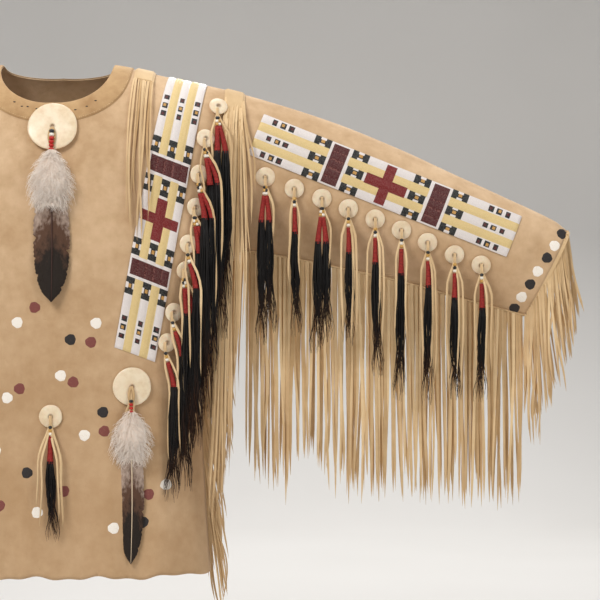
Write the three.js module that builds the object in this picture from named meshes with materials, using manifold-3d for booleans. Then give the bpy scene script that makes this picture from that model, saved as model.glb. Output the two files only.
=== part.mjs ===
// A Plains war shirt of buckskin with beaded strips, cut fringes and hair-lock drops, worn and hollow.
import * as THREE from "three";
import { mergeVertices } from "three/addons/utils/BufferGeometryUtils.js";
import Module from "manifold-3d";

const wasm = await Module();
wasm.setup();

// Sizes are in millimetres. X runs out along the left sleeve, the front faces -Y and Z is up.
// The origin is at the middle of the neck, level with the top of the shoulders.
const WALL = 2;
const SEAM_GAP = 0.3;
const REST_GAP = 0.8;

// Body
const ARMHOLE_X = 287;
const UNDERARM_Z = -300;
const HEM_Z = -800;
const SHOULDER_ROUND = 180;
const SIDE_SQUARENESS = 2.4;
const CHEST_BLEND = { from: 200, to: 330, soft: 1, full: 0.42 };
const NECK = { halfWidth: 88, frontDrop: 73, backDrop: 20 };
const NECK_BAND = { width: 30, segments: 28, rows: [0.03, 0.5, 1] };
const NECK_ANGLES = [0.3, 0.66, Math.PI / 2];
const PANEL_CELLS = { shoulder: 6, chest: 9, skirt: 7, skirtPower: 1.3 };

// Sleeves
const ARM_DEPTH = { root: 58, cuff: 42 };
const SLEEVE_CELLS = { along: 11, round: 16 };
const CUFF_TOP_X = 801;
const CUFF_SEAM_X = 735;

// Top line of the shoulder and sleeve, lower seam of the sleeve, side seam and depth of the body.
// The column called below is the distance under the neck point.
const RIDGE = [
  { x: 0, z: -2 },
  { x: 88, z: -8 },
  { x: 180, z: -27 },
  { x: 287, z: -51 },
  { x: 426, z: -94 },
  { x: 536, z: -138 },
  { x: 614, z: -174 },
  { x: 693, z: -210 },
  { x: 782, z: -252 },
  { x: 801, z: -267 },
];
const LOWER_SEAM = [
  { x: 287, z: -300 },
  { x: 312, z: -301 },
  { x: 470, z: -332 },
  { x: 549, z: -350 },
  { x: 636, z: -375 },
  { x: 735, z: -401 },
];
const SIDE_SEAM = [
  { below: 300, halfWidth: 287 },
  { below: 335, halfWidth: 254 },
  { below: 390, halfWidth: 234 },
  { below: 550, halfWidth: 226 },
  { below: 700, halfWidth: 232 },
  { below: 800, halfWidth: 240 },
];
const BODY_DEPTH = [
  { below: 0, depth: 112 },
  { below: 250, depth: 120 },
  { below: 450, depth: 112 },
  { below: 620, depth: 110 },
  { below: 800, depth: 122 },
];

// Soft folds of the skirt. Each rises, or sinks where its rise is negative, from its start to the hem.
const FRONT_FOLDS = [
  { x: -172, spread: 27, rise: 8, start: 430 },
  { x: -100, spread: 23, rise: -5, start: 500 },
  { x: -44, spread: 25, rise: 5, start: 540 },
  { x: 34, spread: 24, rise: -4, start: 560 },
  { x: 92, spread: 25, rise: 6, start: 520 },
  { x: 166, spread: 29, rise: 9, start: 420 },
];
const BACK_FOLDS = [
  { x: -158, spread: 30, rise: 9, start: 380 },
  { x: -70, spread: 26, rise: 6, start: 420 },
  { x: 6, spread: 24, rise: -6, start: 460 },
  { x: 78, spread: 27, rise: 7, start: 400 },
  { x: 160, spread: 28, rise: 8, start: 400 },
];

// Beaded strips of five lanes
const LANES = 5;
const STRIP_THICKNESS = 2.8;
const STRIP_INSIDE = [-1, -1 / 3, 1 / 3, 1];
const SHOULDER_STRIP = { ridgeX: 204, lean: 0.174, halfWidth: 30, rows: 11, down: 445 };
const SLEEVE_STRIP = {
  startX: 311, startZ: -119, endX: 714, endZ: -278, halfWidth: 33, cells: 15, seat: 1.3,
};

// Cut fringes
const BACKING = { height: 9, halfThickness: 1.3 };
const SLEEVE_FRINGE = { from: 300, to: 724, strands: 24, halfWidth: 4.4, sway: 3, uneven: 16 };
const SLEEVE_FRINGE_ENDS = [
  { x: 300, z: -633 },
  { x: 355, z: -668 },
  { x: 394, z: -615 },
  { x: 440, z: -660 },
  { x: 499, z: -684 },
  { x: 560, z: -680 },
  { x: 728, z: -690 },
];
const CUFF_FRINGE = { halfWidth: 3.2, length: 182, band: 6, swing: 10, sway: 2, uneven: 0.06 };
// How far the cuff's strands stand clear of its edge, how soon they do, and how far they lean out below.
const CUFF_CLEARANCE = { out: 2.4, reachedAt: 1 / 6, lean: 1.5, stations: [0, 0.15, 1] };
const CUFF_STRANDS = [-0.85, -0.6, -0.35, 0.14, 0.28, 0.42, 0.56, 0.7, 0.82, 0.92];
const SIDE_FRINGE = { from: 352, to: 695, strands: 13, halfWidth: 2.2, length: 205, slant: 0.16 };
const SIDE_SWAY = { depth: 2, step: 1.9, uneven: 0.07 };
const ARMHOLE_STRIP = { innerX: 266, outerX: 285, rows: 4, lift: 2, thickness: 2.2 };
const ARMHOLE_STRANDS = [
  { x: 268.5, down: 14, endX: 250, end: 690 },
  { x: 271.5, down: 30, endX: 256, end: 655 },
  { x: 274, down: 20, endX: 263, end: 700 },
  { x: 277.5, down: 40, endX: 272, end: 620 },
  { x: 280.5, down: 46, endX: 284, end: 470 },
  { x: 282.5, down: 34, endX: 299, end: 330 },
];
const INNER_STRIP = { innerX: 121, outerX: 153, rows: 2, lift: 0.8, thickness: 2.2 };
const INNER_STRANDS = [
  { x: 123.5, down: 12, endX: 117, end: 234 },
  { x: 130, down: 12, endX: 124.5, end: 262 },
  { x: 137, down: 12, endX: 132, end: 246 },
  { x: 144, down: 12, endX: 140, end: 272 },
  { x: 151, down: 12, endX: 148, end: 250 },
];
// How the strands fall: their distance from the cloth, the stations along them and the gaps at the back.
const ARMHOLE_FALL = { lifts: [6, 6.8], stations: [0.035, 0.1, 0.24, 0.45, 1], backEvery: 3 };
const INNER_FALL = { lifts: [8.6, 9.4], stations: [0.12, 0.45, 1], backEvery: 2 };
const THONG = { halfWidth: 2.1, halfThickness: 0.9, taper: 0.3 };
const STRAND_STATIONS = [0, 0.6, 1];
const SWAY_STEP = 2.4;
const ACROSS_STEP = 1.7;

// Discs with their locks and thongs. A lane is where the drop hangs, at or beside its disc. A root is
// how far from the cloth's smooth form its cord starts.
const DISC_THICKNESS = 2.6;
const DISC_SIDES = 8;
const DISC_RIM = { radius: 0.94, height: 0.8 };
const SLEEVE_DISC = { radius: 15.3, seat: 1.4, root: 0.2 };
const SHOULDER_DISC = { radius: 14.5, seat: 5.4, root: 0.75 };
const SLEEVE_DROPS = [
  { x: 326, z: -185, lane: 326, locks: 2, lock: 268, thong: 0 },
  { x: 371, z: -203, lane: 372, locks: 1, lock: 236, thong: 0, root: -0.1 },
  { x: 414, z: -218, lane: 414, locks: 2, lock: 246, thong: 0 },
  { x: 455, z: -234, lane: 456, locks: 1, lock: 225, thong: 236 },
  { x: 497, z: -250, lane: 497, locks: 1, lock: 255, thong: 222 },
  { x: 538, z: -267, lane: 537, locks: 1, lock: 272, thong: 205 },
  { x: 579, z: -286, lane: 580, locks: 1, lock: 262, thong: 230 },
  { x: 621, z: -305, lane: 621, locks: 1, lock: 234, thong: 212 },
  { x: 663, z: -321, lane: 664, locks: 1, lock: 220, thong: 206 },
];
const SHOULDER_DROPS = [
  { x: 252, z: -79, lane: 261, locks: 1, lock: 300, thong: 0 },
  { x: 233, z: -129, lane: 250.5, locks: 1, lock: 310, thong: 0 },
  { x: 223, z: -183, lane: 240.5, locks: 1, lock: 320, thong: 0 },
  { x: 217, z: -234, lane: 231, locks: 1, lock: 330, thong: 0, root: 1.1 },
  { x: 207, z: -291, lane: 222, locks: 1, lock: 300, thong: 0, root: 0.5 },
  { x: 201, z: -329, lane: 212.5, locks: 1, lock: 290, thong: 0 },
  { x: 183, z: -395, lane: 200.5, locks: 1, lock: 270, thong: 0 },
  { x: 173, z: -442, lane: 187.5, locks: 1, lock: 240, thong: 0 },
];
// A lock from its disc down: cord, beads, wrapping and hair, as shares of its length.
const LOCK_SHAPE = [
  { share: 0.16, half: 2.6 },
  { share: 0.42, half: 4.2 },
  { share: 1, half: 0 },
];
const LOCK_STAND_OFF = 7;
const THONG_STAND_OFF = 13;
const LOCK_SPACING = 5.5;
const NEXT_LOCK_SHORTER = 14;
const LOOP_RISE = 2.6;
const CORD_HALF = { root: 1.5, loop: 1.6, foot: 2 };
const CORD_FALL = 12;
// A drop passes its disc's rim at this clearance, partly moved to its lane, and falls at least this far.
const RIM = { clearance: 3, laneShare: 0.6, leastFall: 8 };

// Neck, chest and belly ornaments
const NECK_DISC = { x: 3, z: -114, radius: 38, seat: 4.6, root: 0.3, cord: 4.2 };
const CHEST_DROP = { x: 0, z: -554, radius: 17.8, seat: 1.6, root: 0.3, lock: 190, thongs: [172, 164] };
const BELLY_DISC = { x: 122.5, z: -509, radius: 29.5, seat: 2.4, root: 0.9, cord: 2.4, thong: 22 };
const THONG_SPREAD = { chest: 16.5, belly: 11 };
const NECK_FEATHER = [
  { below: 152, halfWidth: 2.5, halfDepth: 2.5 },
  { below: 158, halfWidth: 12, halfDepth: 7 },
  { below: 180, halfWidth: 24, halfDepth: 8 },
  { below: 215, halfWidth: 28, halfDepth: 6 },
  { below: 255, halfWidth: 29.5, halfDepth: 3 },
  { below: 300, halfWidth: 29, halfDepth: 1.8 },
  { below: 340, halfWidth: 24, halfDepth: 1.4 },
  { below: 366, halfWidth: 12, halfDepth: 1.2 },
  { below: 380, halfWidth: 0, halfDepth: 0 },
];
const BELLY_FEATHER = [
  { below: 549, halfWidth: 5, halfDepth: 5 },
  { below: 556, halfWidth: 24, halfDepth: 15 },
  { below: 582, halfWidth: 35, halfDepth: 18 },
  { below: 610, halfWidth: 28, halfDepth: 14 },
  { below: 630, halfWidth: 19, halfDepth: 5 },
  { below: 690, halfWidth: 20, halfDepth: 2 },
  { below: 745, halfWidth: 15, halfDepth: 1.6 },
  { below: 780, halfWidth: 0, halfDepth: 0 },
];
const FEATHER_SIDES = 8;
const FEATHER_STAND_OFF = 1.5;

const QUARTER = Math.PI / 2;
const DOWN_STEP = 12;
const clamp = THREE.MathUtils.clamp;
const mix = THREE.MathUtils.lerp;
const ease = THREE.MathUtils.smoothstep;
const vector = (x, y, z) => new THREE.Vector3(x, y, z);

// Smooth curve through the rows of a table, from one column to another.
function curveOf(rows, from, to) {
  const last = rows.length - 1;
  const slopes = rows.map((row, i) => {
    const before = rows[Math.max(i - 1, 0)];
    const after = rows[Math.min(i + 1, last)];
    return (after[to] - before[to]) / (after[from] - before[from]);
  });
  return (at) => {
    const next = clamp(rows.findIndex((row) => row[from] >= at), -1, last);
    const i = next < 0 ? last - 1 : Math.max(next - 1, 0);
    const span = rows[i + 1][from] - rows[i][from];
    const t = clamp((at - rows[i][from]) / span, 0, 1);
    const start = (1 + 2 * t) * (1 - t) ** 2 * rows[i][to] + t * (1 - t) ** 2 * span * slopes[i];
    const end = t ** 2 * (3 - 2 * t) * rows[i + 1][to] + t ** 2 * (t - 1) * span * slopes[i + 1];
    return start + end;
  };
}

const ridgeCurve = curveOf(RIDGE, "x", "z");
const ridge = (x) => ridgeCurve(Math.abs(x));
const lowerSeam = curveOf(LOWER_SEAM, "x", "z");
const sideSeam = curveOf(SIDE_SEAM, "below", "halfWidth");
const bodyDepth = curveOf(BODY_DEPTH, "below", "depth");
const fringeEnd = curveOf(SLEEVE_FRINGE_ENDS, "x", "z");
const halfWidth = (z) => (z >= UNDERARM_Z ? ARMHOLE_X : sideSeam(-z));

// Share of the full depth at a place between the top of an armhole or sleeve (0) and its lower seam (1).
const LENS = { top: 0.5, foot: 0.9 };
const LENS_PEAK = LENS.top / (LENS.top + LENS.foot);
const lensShape = (s) => s ** LENS.top * (1 - s) ** LENS.foot;
const lens = (s) => lensShape(clamp(s, 0, 1)) / lensShape(LENS_PEAK);

// Distance under the ridge for a turn over the shoulder, and the turn for a distance.
const downOf = (turn) => {
  const size = Math.abs(turn);
  return size < QUARTER ? SHOULDER_ROUND * (1 - Math.cos(size)) : SHOULDER_ROUND * (1 + size - QUARTER);
};
const turnOf = (down) =>
  down < SHOULDER_ROUND ? Math.acos(1 - down / SHOULDER_ROUND) : QUARTER + down / SHOULDER_ROUND - 1;

function foldRise(folds, x, below) {
  return folds.reduce((sum, fold) => {
    const grown = ease(below, fold.start, -HEM_Z);
    return sum + fold.rise * grown * Math.exp(-(((x - fold.x) / fold.spread) ** 2));
  }, 0);
}

// Half the depth of the body at x, at a distance down from its ridge, on the front or the back.
function depthAt(x, down, folds) {
  const z = ridge(x) - down;
  const across = Math.min(Math.abs(x) / halfWidth(z), 1);
  const armhole = ARM_DEPTH.root * lens(down / (ridge(x) - UNDERARM_Z));
  const rounding = Math.sqrt(1 - (1 - Math.min(down / SHOULDER_ROUND, 1)) ** 2);
  const centre = bodyDepth(-z) * rounding;
  const { from, to, soft, full } = CHEST_BLEND;
  const power = mix(soft, full, ease(-z, from, to));
  const bulge = (1 - across ** SIDE_SQUARENESS) ** power;
  return armhole + (centre - armhole + foldRise(folds, x, -z)) * bulge;
}

// Point of the body's outside at x. A positive turn is on the front, a negative one on the back.
function bodyPoint(x, turn) {
  const down = downOf(turn);
  const depth = depthAt(x, down, turn >= 0 ? FRONT_FOLDS : BACK_FOLDS);
  return vector(x, -Math.sign(turn) * depth, ridge(x) - down);
}

// Half the depth of the sleeve along its length, from 0 at the armhole to 1 at the cuff.
const sleeveDepth = (along) => mix(ARM_DEPTH.root, ARM_DEPTH.cuff, along);

function sleeveTop(along) {
  const x = mix(ARMHOLE_X + SEAM_GAP, CUFF_TOP_X, along);
  return vector(x, 0, ridge(x));
}

function sleeveFoot(along) {
  const x = mix(ARMHOLE_X + SEAM_GAP, CUFF_SEAM_X, along);
  return vector(x, 0, lowerSeam(x));
}

// Point of the sleeve's outside. Round is 0 at the top, 1 at the lower seam by the front, -1 by the back.
function sleevePoint(along, round) {
  const share = 1 - Math.cos(round * QUARTER);
  const point = sleeveTop(along).lerp(sleeveFoot(along), share);
  point.y = -Math.sign(round) * sleeveDepth(along) * lens(share);
  return point;
}

// Point of a surface moved out along its normal, from the surface's two running values.
function lifted(surface, u, v, step, lift) {
  const [du, dv] = step;
  const alongU = surface(u + du, v).sub(surface(u - du, v));
  const alongV = surface(u, v + dv).sub(surface(u, v - dv));
  return surface(u, v).addScaledVector(alongV.cross(alongU).normalize(), lift);
}

const BODY_STEP = [0.5, 0.01];
const SLEEVE_STEP = [0.004, 0.01];
const onBody = (x, turn, lift) => lifted(bodyPoint, x, turn, BODY_STEP, lift);
const onSleeve = (along, round, lift) => lifted(sleevePoint, along, round, SLEEVE_STEP, lift);

// How far along and round the sleeve its front shows the place x, z.
function sleevePlace(x, z) {
  let low = 0;
  let high = 1;
  for (let i = 0; i < 30; i += 1) {
    const middle = (low + high) / 2;
    const top = sleeveTop(middle);
    const foot = sleeveFoot(middle);
    const side = (foot.x - top.x) * (z - top.z) - (foot.z - top.z) * (x - top.x);
    if (side > 0) low = middle;
    else high = middle;
  }
  const top = sleeveTop(low);
  const share = (z - top.z) / (sleeveFoot(low).z - top.z);
  return { along: low, round: Math.acos(clamp(1 - share, 0, 1)) / QUARTER };
}

// Point of the front at x, z, on the body or the sleeve, moved out.
function onFront(x, z, lift) {
  if (x <= ARMHOLE_X) return onBody(x, turnOf(ridge(x) - z), lift);
  const { along, round } = sleevePlace(x, z);
  return onSleeve(along, round, lift);
}

// How far forward of the middle the garment reaches at x, z, or 0 where there is none.
function reach(x, z, folds = FRONT_FOLDS) {
  if (z > ridge(x)) return 0;
  if (x <= ARMHOLE_X) return x < halfWidth(z) && z > HEM_Z ? depthAt(x, ridge(x) - z, folds) : 0;
  if (x > CUFF_TOP_X || (x < CUFF_SEAM_X && z < lowerSeam(x))) return 0;
  const { along, round } = sleevePlace(x, z);
  return along < 1 ? Math.abs(sleevePoint(along, round).y) : 0;
}

// Distance from the middle that a thing hanging from the height top keeps at the height z.
function hangingReach(x, top, z, folds = FRONT_FOLDS, wide = 0) {
  const widest = (level) => Math.max(...[-wide, 0, wide].map((side) => reach(x + side, level, folds)));
  let most = widest(z);
  for (let level = top; level > z; level -= DOWN_STEP) most = Math.max(most, widest(level));
  return most;
}

// Triangles between two lists of point numbers, which may differ in length.
function zip(faces, near, far) {
  const nearCells = near.length - 1;
  const farCells = far.length - 1;
  let i = 0;
  let j = 0;
  while (i < nearCells || j < farCells) {
    const nearIsNext = i < nearCells && (i + 1) * farCells <= (j + 1) * nearCells;
    if (j === farCells || nearIsNext) {
      faces.push([near[i], near[i + 1], far[j]]);
      i += 1;
    } else {
      faces.push([near[i], far[j + 1], far[j]]);
      j += 1;
    }
  }
}

// Geometry from shared points and faces, turned so that it faces outwards.
function closedGeometry(points, faces) {
  const volume = faces.reduce((sum, [a, b, c]) => {
    const normal = points[b].clone().cross(points[c]);
    return sum + points[a].dot(normal);
  }, 0);
  const order = volume < 0 ? faces.map(([a, b, c]) => [a, c, b]) : faces;
  const geometry = new THREE.BufferGeometry().setFromPoints(points);
  geometry.setIndex(new THREE.Uint32BufferAttribute(order.flat(), 1));
  return geometry;
}

// Numbers the points of a grid and keeps them in one list.
function numbered(points, grid) {
  return grid.map((row) => row.map((point) => points.push(point) - 1));
}

// Closed wall between an outer and an inner grid with the same number of rows.
function wallGeometry(outerGrid, innerGrid) {
  const points = [];
  const faces = [];
  const outer = numbered(points, outerGrid);
  const inner = numbered(points, innerGrid);
  for (let row = 0; row + 1 < outer.length; row += 1) {
    zip(faces, outer[row], outer[row + 1]);
    zip(faces, inner[row + 1], inner[row]);
  }
  const column = (grid, at) => grid.map((row) => row.at(at));
  zip(faces, column(outer, 0), column(inner, 0));
  zip(faces, column(inner, -1), column(outer, -1));
  zip(faces, inner[0], outer[0]);
  zip(faces, outer.at(-1), inner.at(-1));
  return closedGeometry(points, faces);
}

// Closed tube wall between outer and inner rings, open at both ends.
function tubeGeometry(outerRings, innerRings) {
  const points = [];
  const faces = [];
  const closing = (grid) => numbered(points, grid).map((ring) => [...ring, ring[0]]);
  const outer = closing(outerRings);
  const inner = closing(innerRings);
  for (let row = 0; row + 1 < outer.length; row += 1) {
    zip(faces, outer[row], outer[row + 1]);
    zip(faces, inner[row + 1], inner[row]);
  }
  zip(faces, inner[0], outer[0]);
  zip(faces, outer.at(-1), inner.at(-1));
  return closedGeometry(points, faces);
}

// Closed solid through rings. The first and the last ring may be a single point.
function ringsGeometry(rings) {
  const points = [];
  const faces = [];
  const closing = (ring) => (ring.length > 1 ? [...ring, ring[0]] : ring);
  const rows = numbered(points, rings).map(closing);
  for (let row = 0; row + 1 < rows.length; row += 1) zip(faces, rows[row], rows[row + 1]);
  return closedGeometry(points, faces);
}

// Three-sided strand along a path. Its half widths and thicknesses are listed by station, 0 at the tip.
function strandGeometry(path, halves) {
  const rings = path.map((point, i) => {
    const { wide, thick } = halves[i];
    if (wide === 0) return [point];
    const before = path[Math.max(i - 1, 0)];
    const after = path[Math.min(i + 1, path.length - 1)];
    const across = vector(1, 0, 0);
    const outward = after.clone().sub(before).normalize().cross(across).normalize();
    return [[-1, -1], [1, -1], [0, 1]].map(([side, face]) =>
      point.clone().addScaledVector(across, side * wide).addScaledVector(outward, face * thick));
  });
  const foot = rings.at(-1).length > 1 ? [[path.at(-1)]] : [];
  return ringsGeometry([[path[0]], ...rings, ...foot]);
}

// Flat thong that narrows to a point.
function thongGeometry(path, halfWide = THONG.halfWidth) {
  const last = path.length - 1;
  const halves = path.map((point, i) => ({
    wide: i === last ? 0 : halfWide * (1 - THONG.taper * (i / last)),
    thick: THONG.halfThickness,
  }));
  return strandGeometry(path, halves);
}

function manifoldOf(geometry) {
  return new wasm.Manifold(new wasm.Mesh({
    numProp: 3,
    vertProperties: geometry.attributes.position.array,
    triVerts: geometry.index.array,
  }));
}

// Joins overlapping closed geometries into one.
function fused(geometries) {
  const joined = geometries.map(manifoldOf).reduce((sum, next) => sum.add(next));
  const { vertProperties, triVerts } = joined.getMesh();
  const geometry = new THREE.BufferGeometry();
  geometry.setAttribute("position", new THREE.BufferAttribute(vertProperties, 3));
  return geometry.setIndex(new THREE.BufferAttribute(triVerts, 1));
}

// Slightly domed disc whose axis is Y, with only closed faces.
function discGeometry(radius) {
  const profile = [
    new THREE.Vector2(0, 0),
    new THREE.Vector2(radius, 0),
    new THREE.Vector2(radius * DISC_RIM.radius, DISC_THICKNESS * DISC_RIM.height),
    new THREE.Vector2(0, DISC_THICKNESS),
  ];
  const lathe = new THREE.LatheGeometry(profile, DISC_SIDES);
  lathe.deleteAttribute("normal");
  lathe.deleteAttribute("uv");
  const welded = mergeVertices(lathe, 1e-3);
  const index = welded.index.array;
  const kept = [];
  for (let i = 0; i < index.length; i += 3) {
    const [a, b, c] = index.slice(i, i + 3);
    if (a !== b && b !== c && c !== a) kept.push([a, b, c]);
  }
  const position = welded.attributes.position;
  const points = Array.from({ length: position.count }, (_, i) =>
    new THREE.Vector3().fromBufferAttribute(position, i));
  return closedGeometry(points, kept);
}

// Place on the squarish neck: angle 0 at the middle of the front, half a turn at the back, out by a width.
function neckPlace(angle, width) {
  const drop = (Math.cos(angle) > 0 ? NECK.frontDrop : NECK.backDrop) + width;
  const side = Math.sin(angle) * Math.sqrt(1 + Math.cos(angle) ** 2);
  return { x: (NECK.halfWidth + width) * side, turn: turnOf(drop) * Math.cos(angle) };
}

// Share of the way from the ridge to the underarm at a row, closer together at the ridge.
const chestShare = (row) => 1 - Math.cos(QUARTER * (row / PANEL_CELLS.chest));
const skirtLevel = (row) => mix(UNDERARM_Z, HEM_Z, (row / PANEL_CELLS.skirt) ** PANEL_CELLS.skirtPower);

// Distance down from the ridge at x of a panel's row, so that what lies on it bends where it bends.
function rowDown(x, row) {
  if (row <= PANEL_CELLS.chest) return chestShare(row) * (ridge(x) - UNDERARM_Z);
  return ridge(x) - skirtLevel(row - PANEL_CELLS.chest);
}

// Columns of a body panel as shares of its half width, closer together at the neck.
function panelColumns() {
  const right = [];
  NECK_ANGLES.forEach((angle) => right.push(neckPlace(angle, 0).x / ARMHOLE_X));
  const neckShare = right.at(-1);
  for (let i = 1; i <= PANEL_CELLS.shoulder; i += 1) {
    right.push(mix(neckShare, 1, i / PANEL_CELLS.shoulder));
  }
  return [...right.map((share) => -share).reverse(), 0, ...right];
}

// Distance of a panel's top edge below the ridge at x: the neck's curve, or none on the shoulder.
function topEdge(x, facing) {
  if (Math.abs(x) >= NECK.halfWidth - REST_GAP) return 0;
  const cosine = (1 - (x / NECK.halfWidth) ** 2) ** 0.25;
  return downOf(neckPlace(Math.acos(facing * cosine), 0).turn);
}

// Front panel where facing is 1, back panel where it is -1.
function bodyPanel(facing) {
  const shares = panelColumns();
  const seat = (grid, lift) => grid.map(({ x, turn }) => {
    const point = onBody(x, facing * turn, lift);
    point.y = facing > 0 ? Math.min(point.y, -SEAM_GAP / 2) : Math.max(point.y, SEAM_GAP / 2);
    return point;
  });
  const rows = [];
  for (let row = 0; row <= PANEL_CELLS.chest; row += 1) {
    const share = chestShare(row);
    rows.push(shares.map((at) => {
      const x = at * ARMHOLE_X;
      const top = topEdge(x, facing);
      return { x, turn: turnOf(mix(top, ridge(x) - UNDERARM_Z, share)) };
    }));
  }
  for (let row = 1; row <= PANEL_CELLS.skirt; row += 1) {
    const z = skirtLevel(row);
    rows.push(shares.map((at) => {
      const x = at * halfWidth(z);
      return { x, turn: turnOf(ridge(x) - z) };
    }));
  }
  return wallGeometry(rows.map((row) => seat(row, 0)), rows.map((row) => seat(row, -WALL)));
}

// Ring of a sleeve moved in from its outside within its own plane. A sharp fold moves in no further than
// the least slope allows.
const LEAST_SLOPE = 0.25;
function insetRing(ring, thickness) {
  const plane = ring[1].clone().sub(ring[0]).cross(ring.at(-2).clone().sub(ring[0])).normalize();
  return ring.map((point, i) => {
    const before = point.clone().sub(ring.at(i - 1)).normalize();
    const after = ring[(i + 1) % ring.length].clone().sub(point).normalize();
    const inward = before.clone().add(after).normalize().cross(plane).normalize();
    const slope = Math.max(Math.abs(before.clone().cross(plane).dot(inward)), LEAST_SLOPE);
    const centre = ring.reduce((sum, p) => sum.add(p), vector(0, 0, 0)).divideScalar(ring.length);
    const facing = Math.sign(inward.dot(centre.sub(point)));
    return point.clone().addScaledVector(inward, (facing * thickness) / slope);
  });
}

function sleeveRing(along) {
  const ring = [];
  for (let i = 0; i < SLEEVE_CELLS.round; i += 1) {
    ring.push(sleevePoint(along, -1 + (2 * i) / SLEEVE_CELLS.round));
  }
  return ring;
}

function sleeve() {
  const rings = [];
  for (let i = 0; i <= SLEEVE_CELLS.along; i += 1) rings.push(sleeveRing(i / SLEEVE_CELLS.along));
  return tubeGeometry(rings, rings.map((ring) => insetRing(ring, WALL)));
}

// Band that lies round the neck on the front and back panels.
function neckBand() {
  const { width, segments, rows } = NECK_BAND;
  const ring = (across, lift) => {
    const points = [];
    for (let i = 0; i < segments; i += 1) {
      const { x, turn } = neckPlace(2 * Math.PI * (i / segments), across);
      points.push(onBody(x, turn, lift));
    }
    return points;
  };
  const layer = (lift) => rows.map((share) => ring(share * width, lift));
  return tubeGeometry(layer(REST_GAP + WALL), layer(REST_GAP));
}

// Grid of a beaded strip: rows along it, columns over its lanes or, on its plain inside, over two cells.
function stripWall(rows, seat, placeAt) {
  const edges = Array.from({ length: LANES + 1 }, (_, i) => (2 * i) / LANES - 1);
  const grid = (columns, lift) => rows.map((row) => columns.map((across) => placeAt(row, across, lift)));
  return wallGeometry(grid(edges, seat + STRIP_THICKNESS), grid(STRIP_INSIDE, seat));
}

// Strip over the shoulder, from its front end across the ridge to its back end.
function shoulderStrip() {
  const { ridgeX, lean, halfWidth: half, rows: last, down: end } = SHOULDER_STRIP;
  const rows = Array.from({ length: 2 * last + 3 }, (_, i) => last + 1 - i);
  return stripWall(rows, REST_GAP, (row, across, lift) => {
    const size = Math.abs(row);
    const centre = ridgeX - lean * (size > last ? end : rowDown(ridgeX, size));
    const x = centre + across * half;
    const down = size > last ? end + across * half * lean : rowDown(x, size);
    return onBody(x, Math.sign(row) * turnOf(down), lift);
  });
}

function sleeveStrip() {
  const { startX, startZ, endX, endZ, halfWidth: half, cells, seat } = SLEEVE_STRIP;
  const direction = new THREE.Vector2(endX - startX, endZ - startZ).normalize();
  const rows = Array.from({ length: cells + 1 }, (_, i) => i / cells);
  return stripWall(rows, seat, (row, across, lift) => {
    const x = mix(startX, endX, row) - direction.y * across * half;
    const z = mix(startZ, endZ, row) + direction.x * across * half;
    return onFront(x, z, lift);
  });
}

// Narrow strip of hide along a line of points, between two offsets, that strands are cut from.
function backingStrip(line, from, to) {
  const { halfThickness } = BACKING;
  const side = (y) => line.map((point) => [from, to].map((offset) =>
    point.clone().add(offset).add(vector(0, y, 0))));
  return wallGeometry(side(-halfThickness), side(halfThickness));
}

function sleeveFringe() {
  const { from, to, strands, halfWidth: half, sway, uneven } = SLEEVE_FRINGE;
  const line = [];
  for (let i = 0; i <= SLEEVE_CELLS.along; i += 1) line.push(sleeveFoot(i / SLEEVE_CELLS.along));
  const under = REST_GAP / 2;
  const pieces = [backingStrip(line, vector(0, 0, -under), vector(0, 0, -under - BACKING.height))];
  for (let i = 0; i < strands; i += 1) {
    const x = mix(from, to, i / (strands - 1));
    const top = lowerSeam(x) - under - BACKING.height / 2;
    const end = fringeEnd(x) + uneven * Math.sin(i * SWAY_STEP);
    const path = STRAND_STATIONS.map((share) => vector(
      x + share * sway * Math.sin(i * ACROSS_STEP),
      share * sway * Math.cos(i * SWAY_STEP),
      mix(top, end, share),
    ));
    pieces.push(thongGeometry(path, half));
  }
  return fused(pieces);
}

// Fringe round the cuff, from a narrow ring just beyond its edge.
function cuffFringe() {
  const { halfWidth: half, length, band, swing, sway, uneven } = CUFF_FRINGE;
  const { out, reachedAt, lean, stations } = CUFF_CLEARANCE;
  const beyond = sleeveFoot(1).sub(sleeveTop(1)).normalize().cross(vector(0, 1, 0));
  const ringAt = (distance) => sleeveRing(1).map((p) => p.addScaledVector(beyond, distance));
  const outer = [ringAt(SEAM_GAP), ringAt(SEAM_GAP + band)];
  const pieces = [tubeGeometry(outer, outer.map((ring) => insetRing(ring, WALL)))];
  CUFF_STRANDS.forEach((round, i) => {
    const root = sleevePoint(1, round).addScaledVector(beyond, SEAM_GAP + band / 2);
    const side = Math.sign(root.y) || 1;
    const path = stations.map((share) => vector(
      root.x + swing * share + sway * share * Math.sin(i * SWAY_STEP),
      root.y + side * (out * Math.min(share / reachedAt, 1) + lean * share),
      root.z - share * length * (1 + uneven * Math.sin(i * SWAY_STEP)),
    ));
    pieces.push(thongGeometry(path, half));
  });
  return fused(pieces);
}

// Fringe down the side seam. Each strand leans out a little, clear of the ones below it.
function sideFringe() {
  const { from, to, strands, halfWidth: half, length, slant } = SIDE_FRINGE;
  const { depth, step, uneven } = SIDE_SWAY;
  const line = Array.from({ length: PANEL_CELLS.skirt }, (_, i) => {
    const z = skirtLevel(i + 1);
    return vector(halfWidth(z), 0, z);
  });
  const near = vector(REST_GAP, 0, 0);
  const pieces = [backingStrip(line, near, near.clone().add(vector(BACKING.height / 2, 0, 0)))];
  for (let i = 0; i < strands; i += 1) {
    const z = -mix(from, to, i / (strands - 1));
    const next = line.findIndex((point) => point.z <= z);
    const share = (line[next - 1].z - z) / (line[next - 1].z - line[next].z);
    const root = mix(line[next - 1].x, line[next].x, share) + REST_GAP + BACKING.height / 3;
    const long = length * (1 + uneven * Math.sin(i * SWAY_STEP));
    const path = STRAND_STATIONS.map((part) =>
      vector(root + slant * long * part, depth * Math.sin(i * step) * part, z - long * part));
    pieces.push(thongGeometry(path, half));
  }
  return fused(pieces);
}

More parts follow.
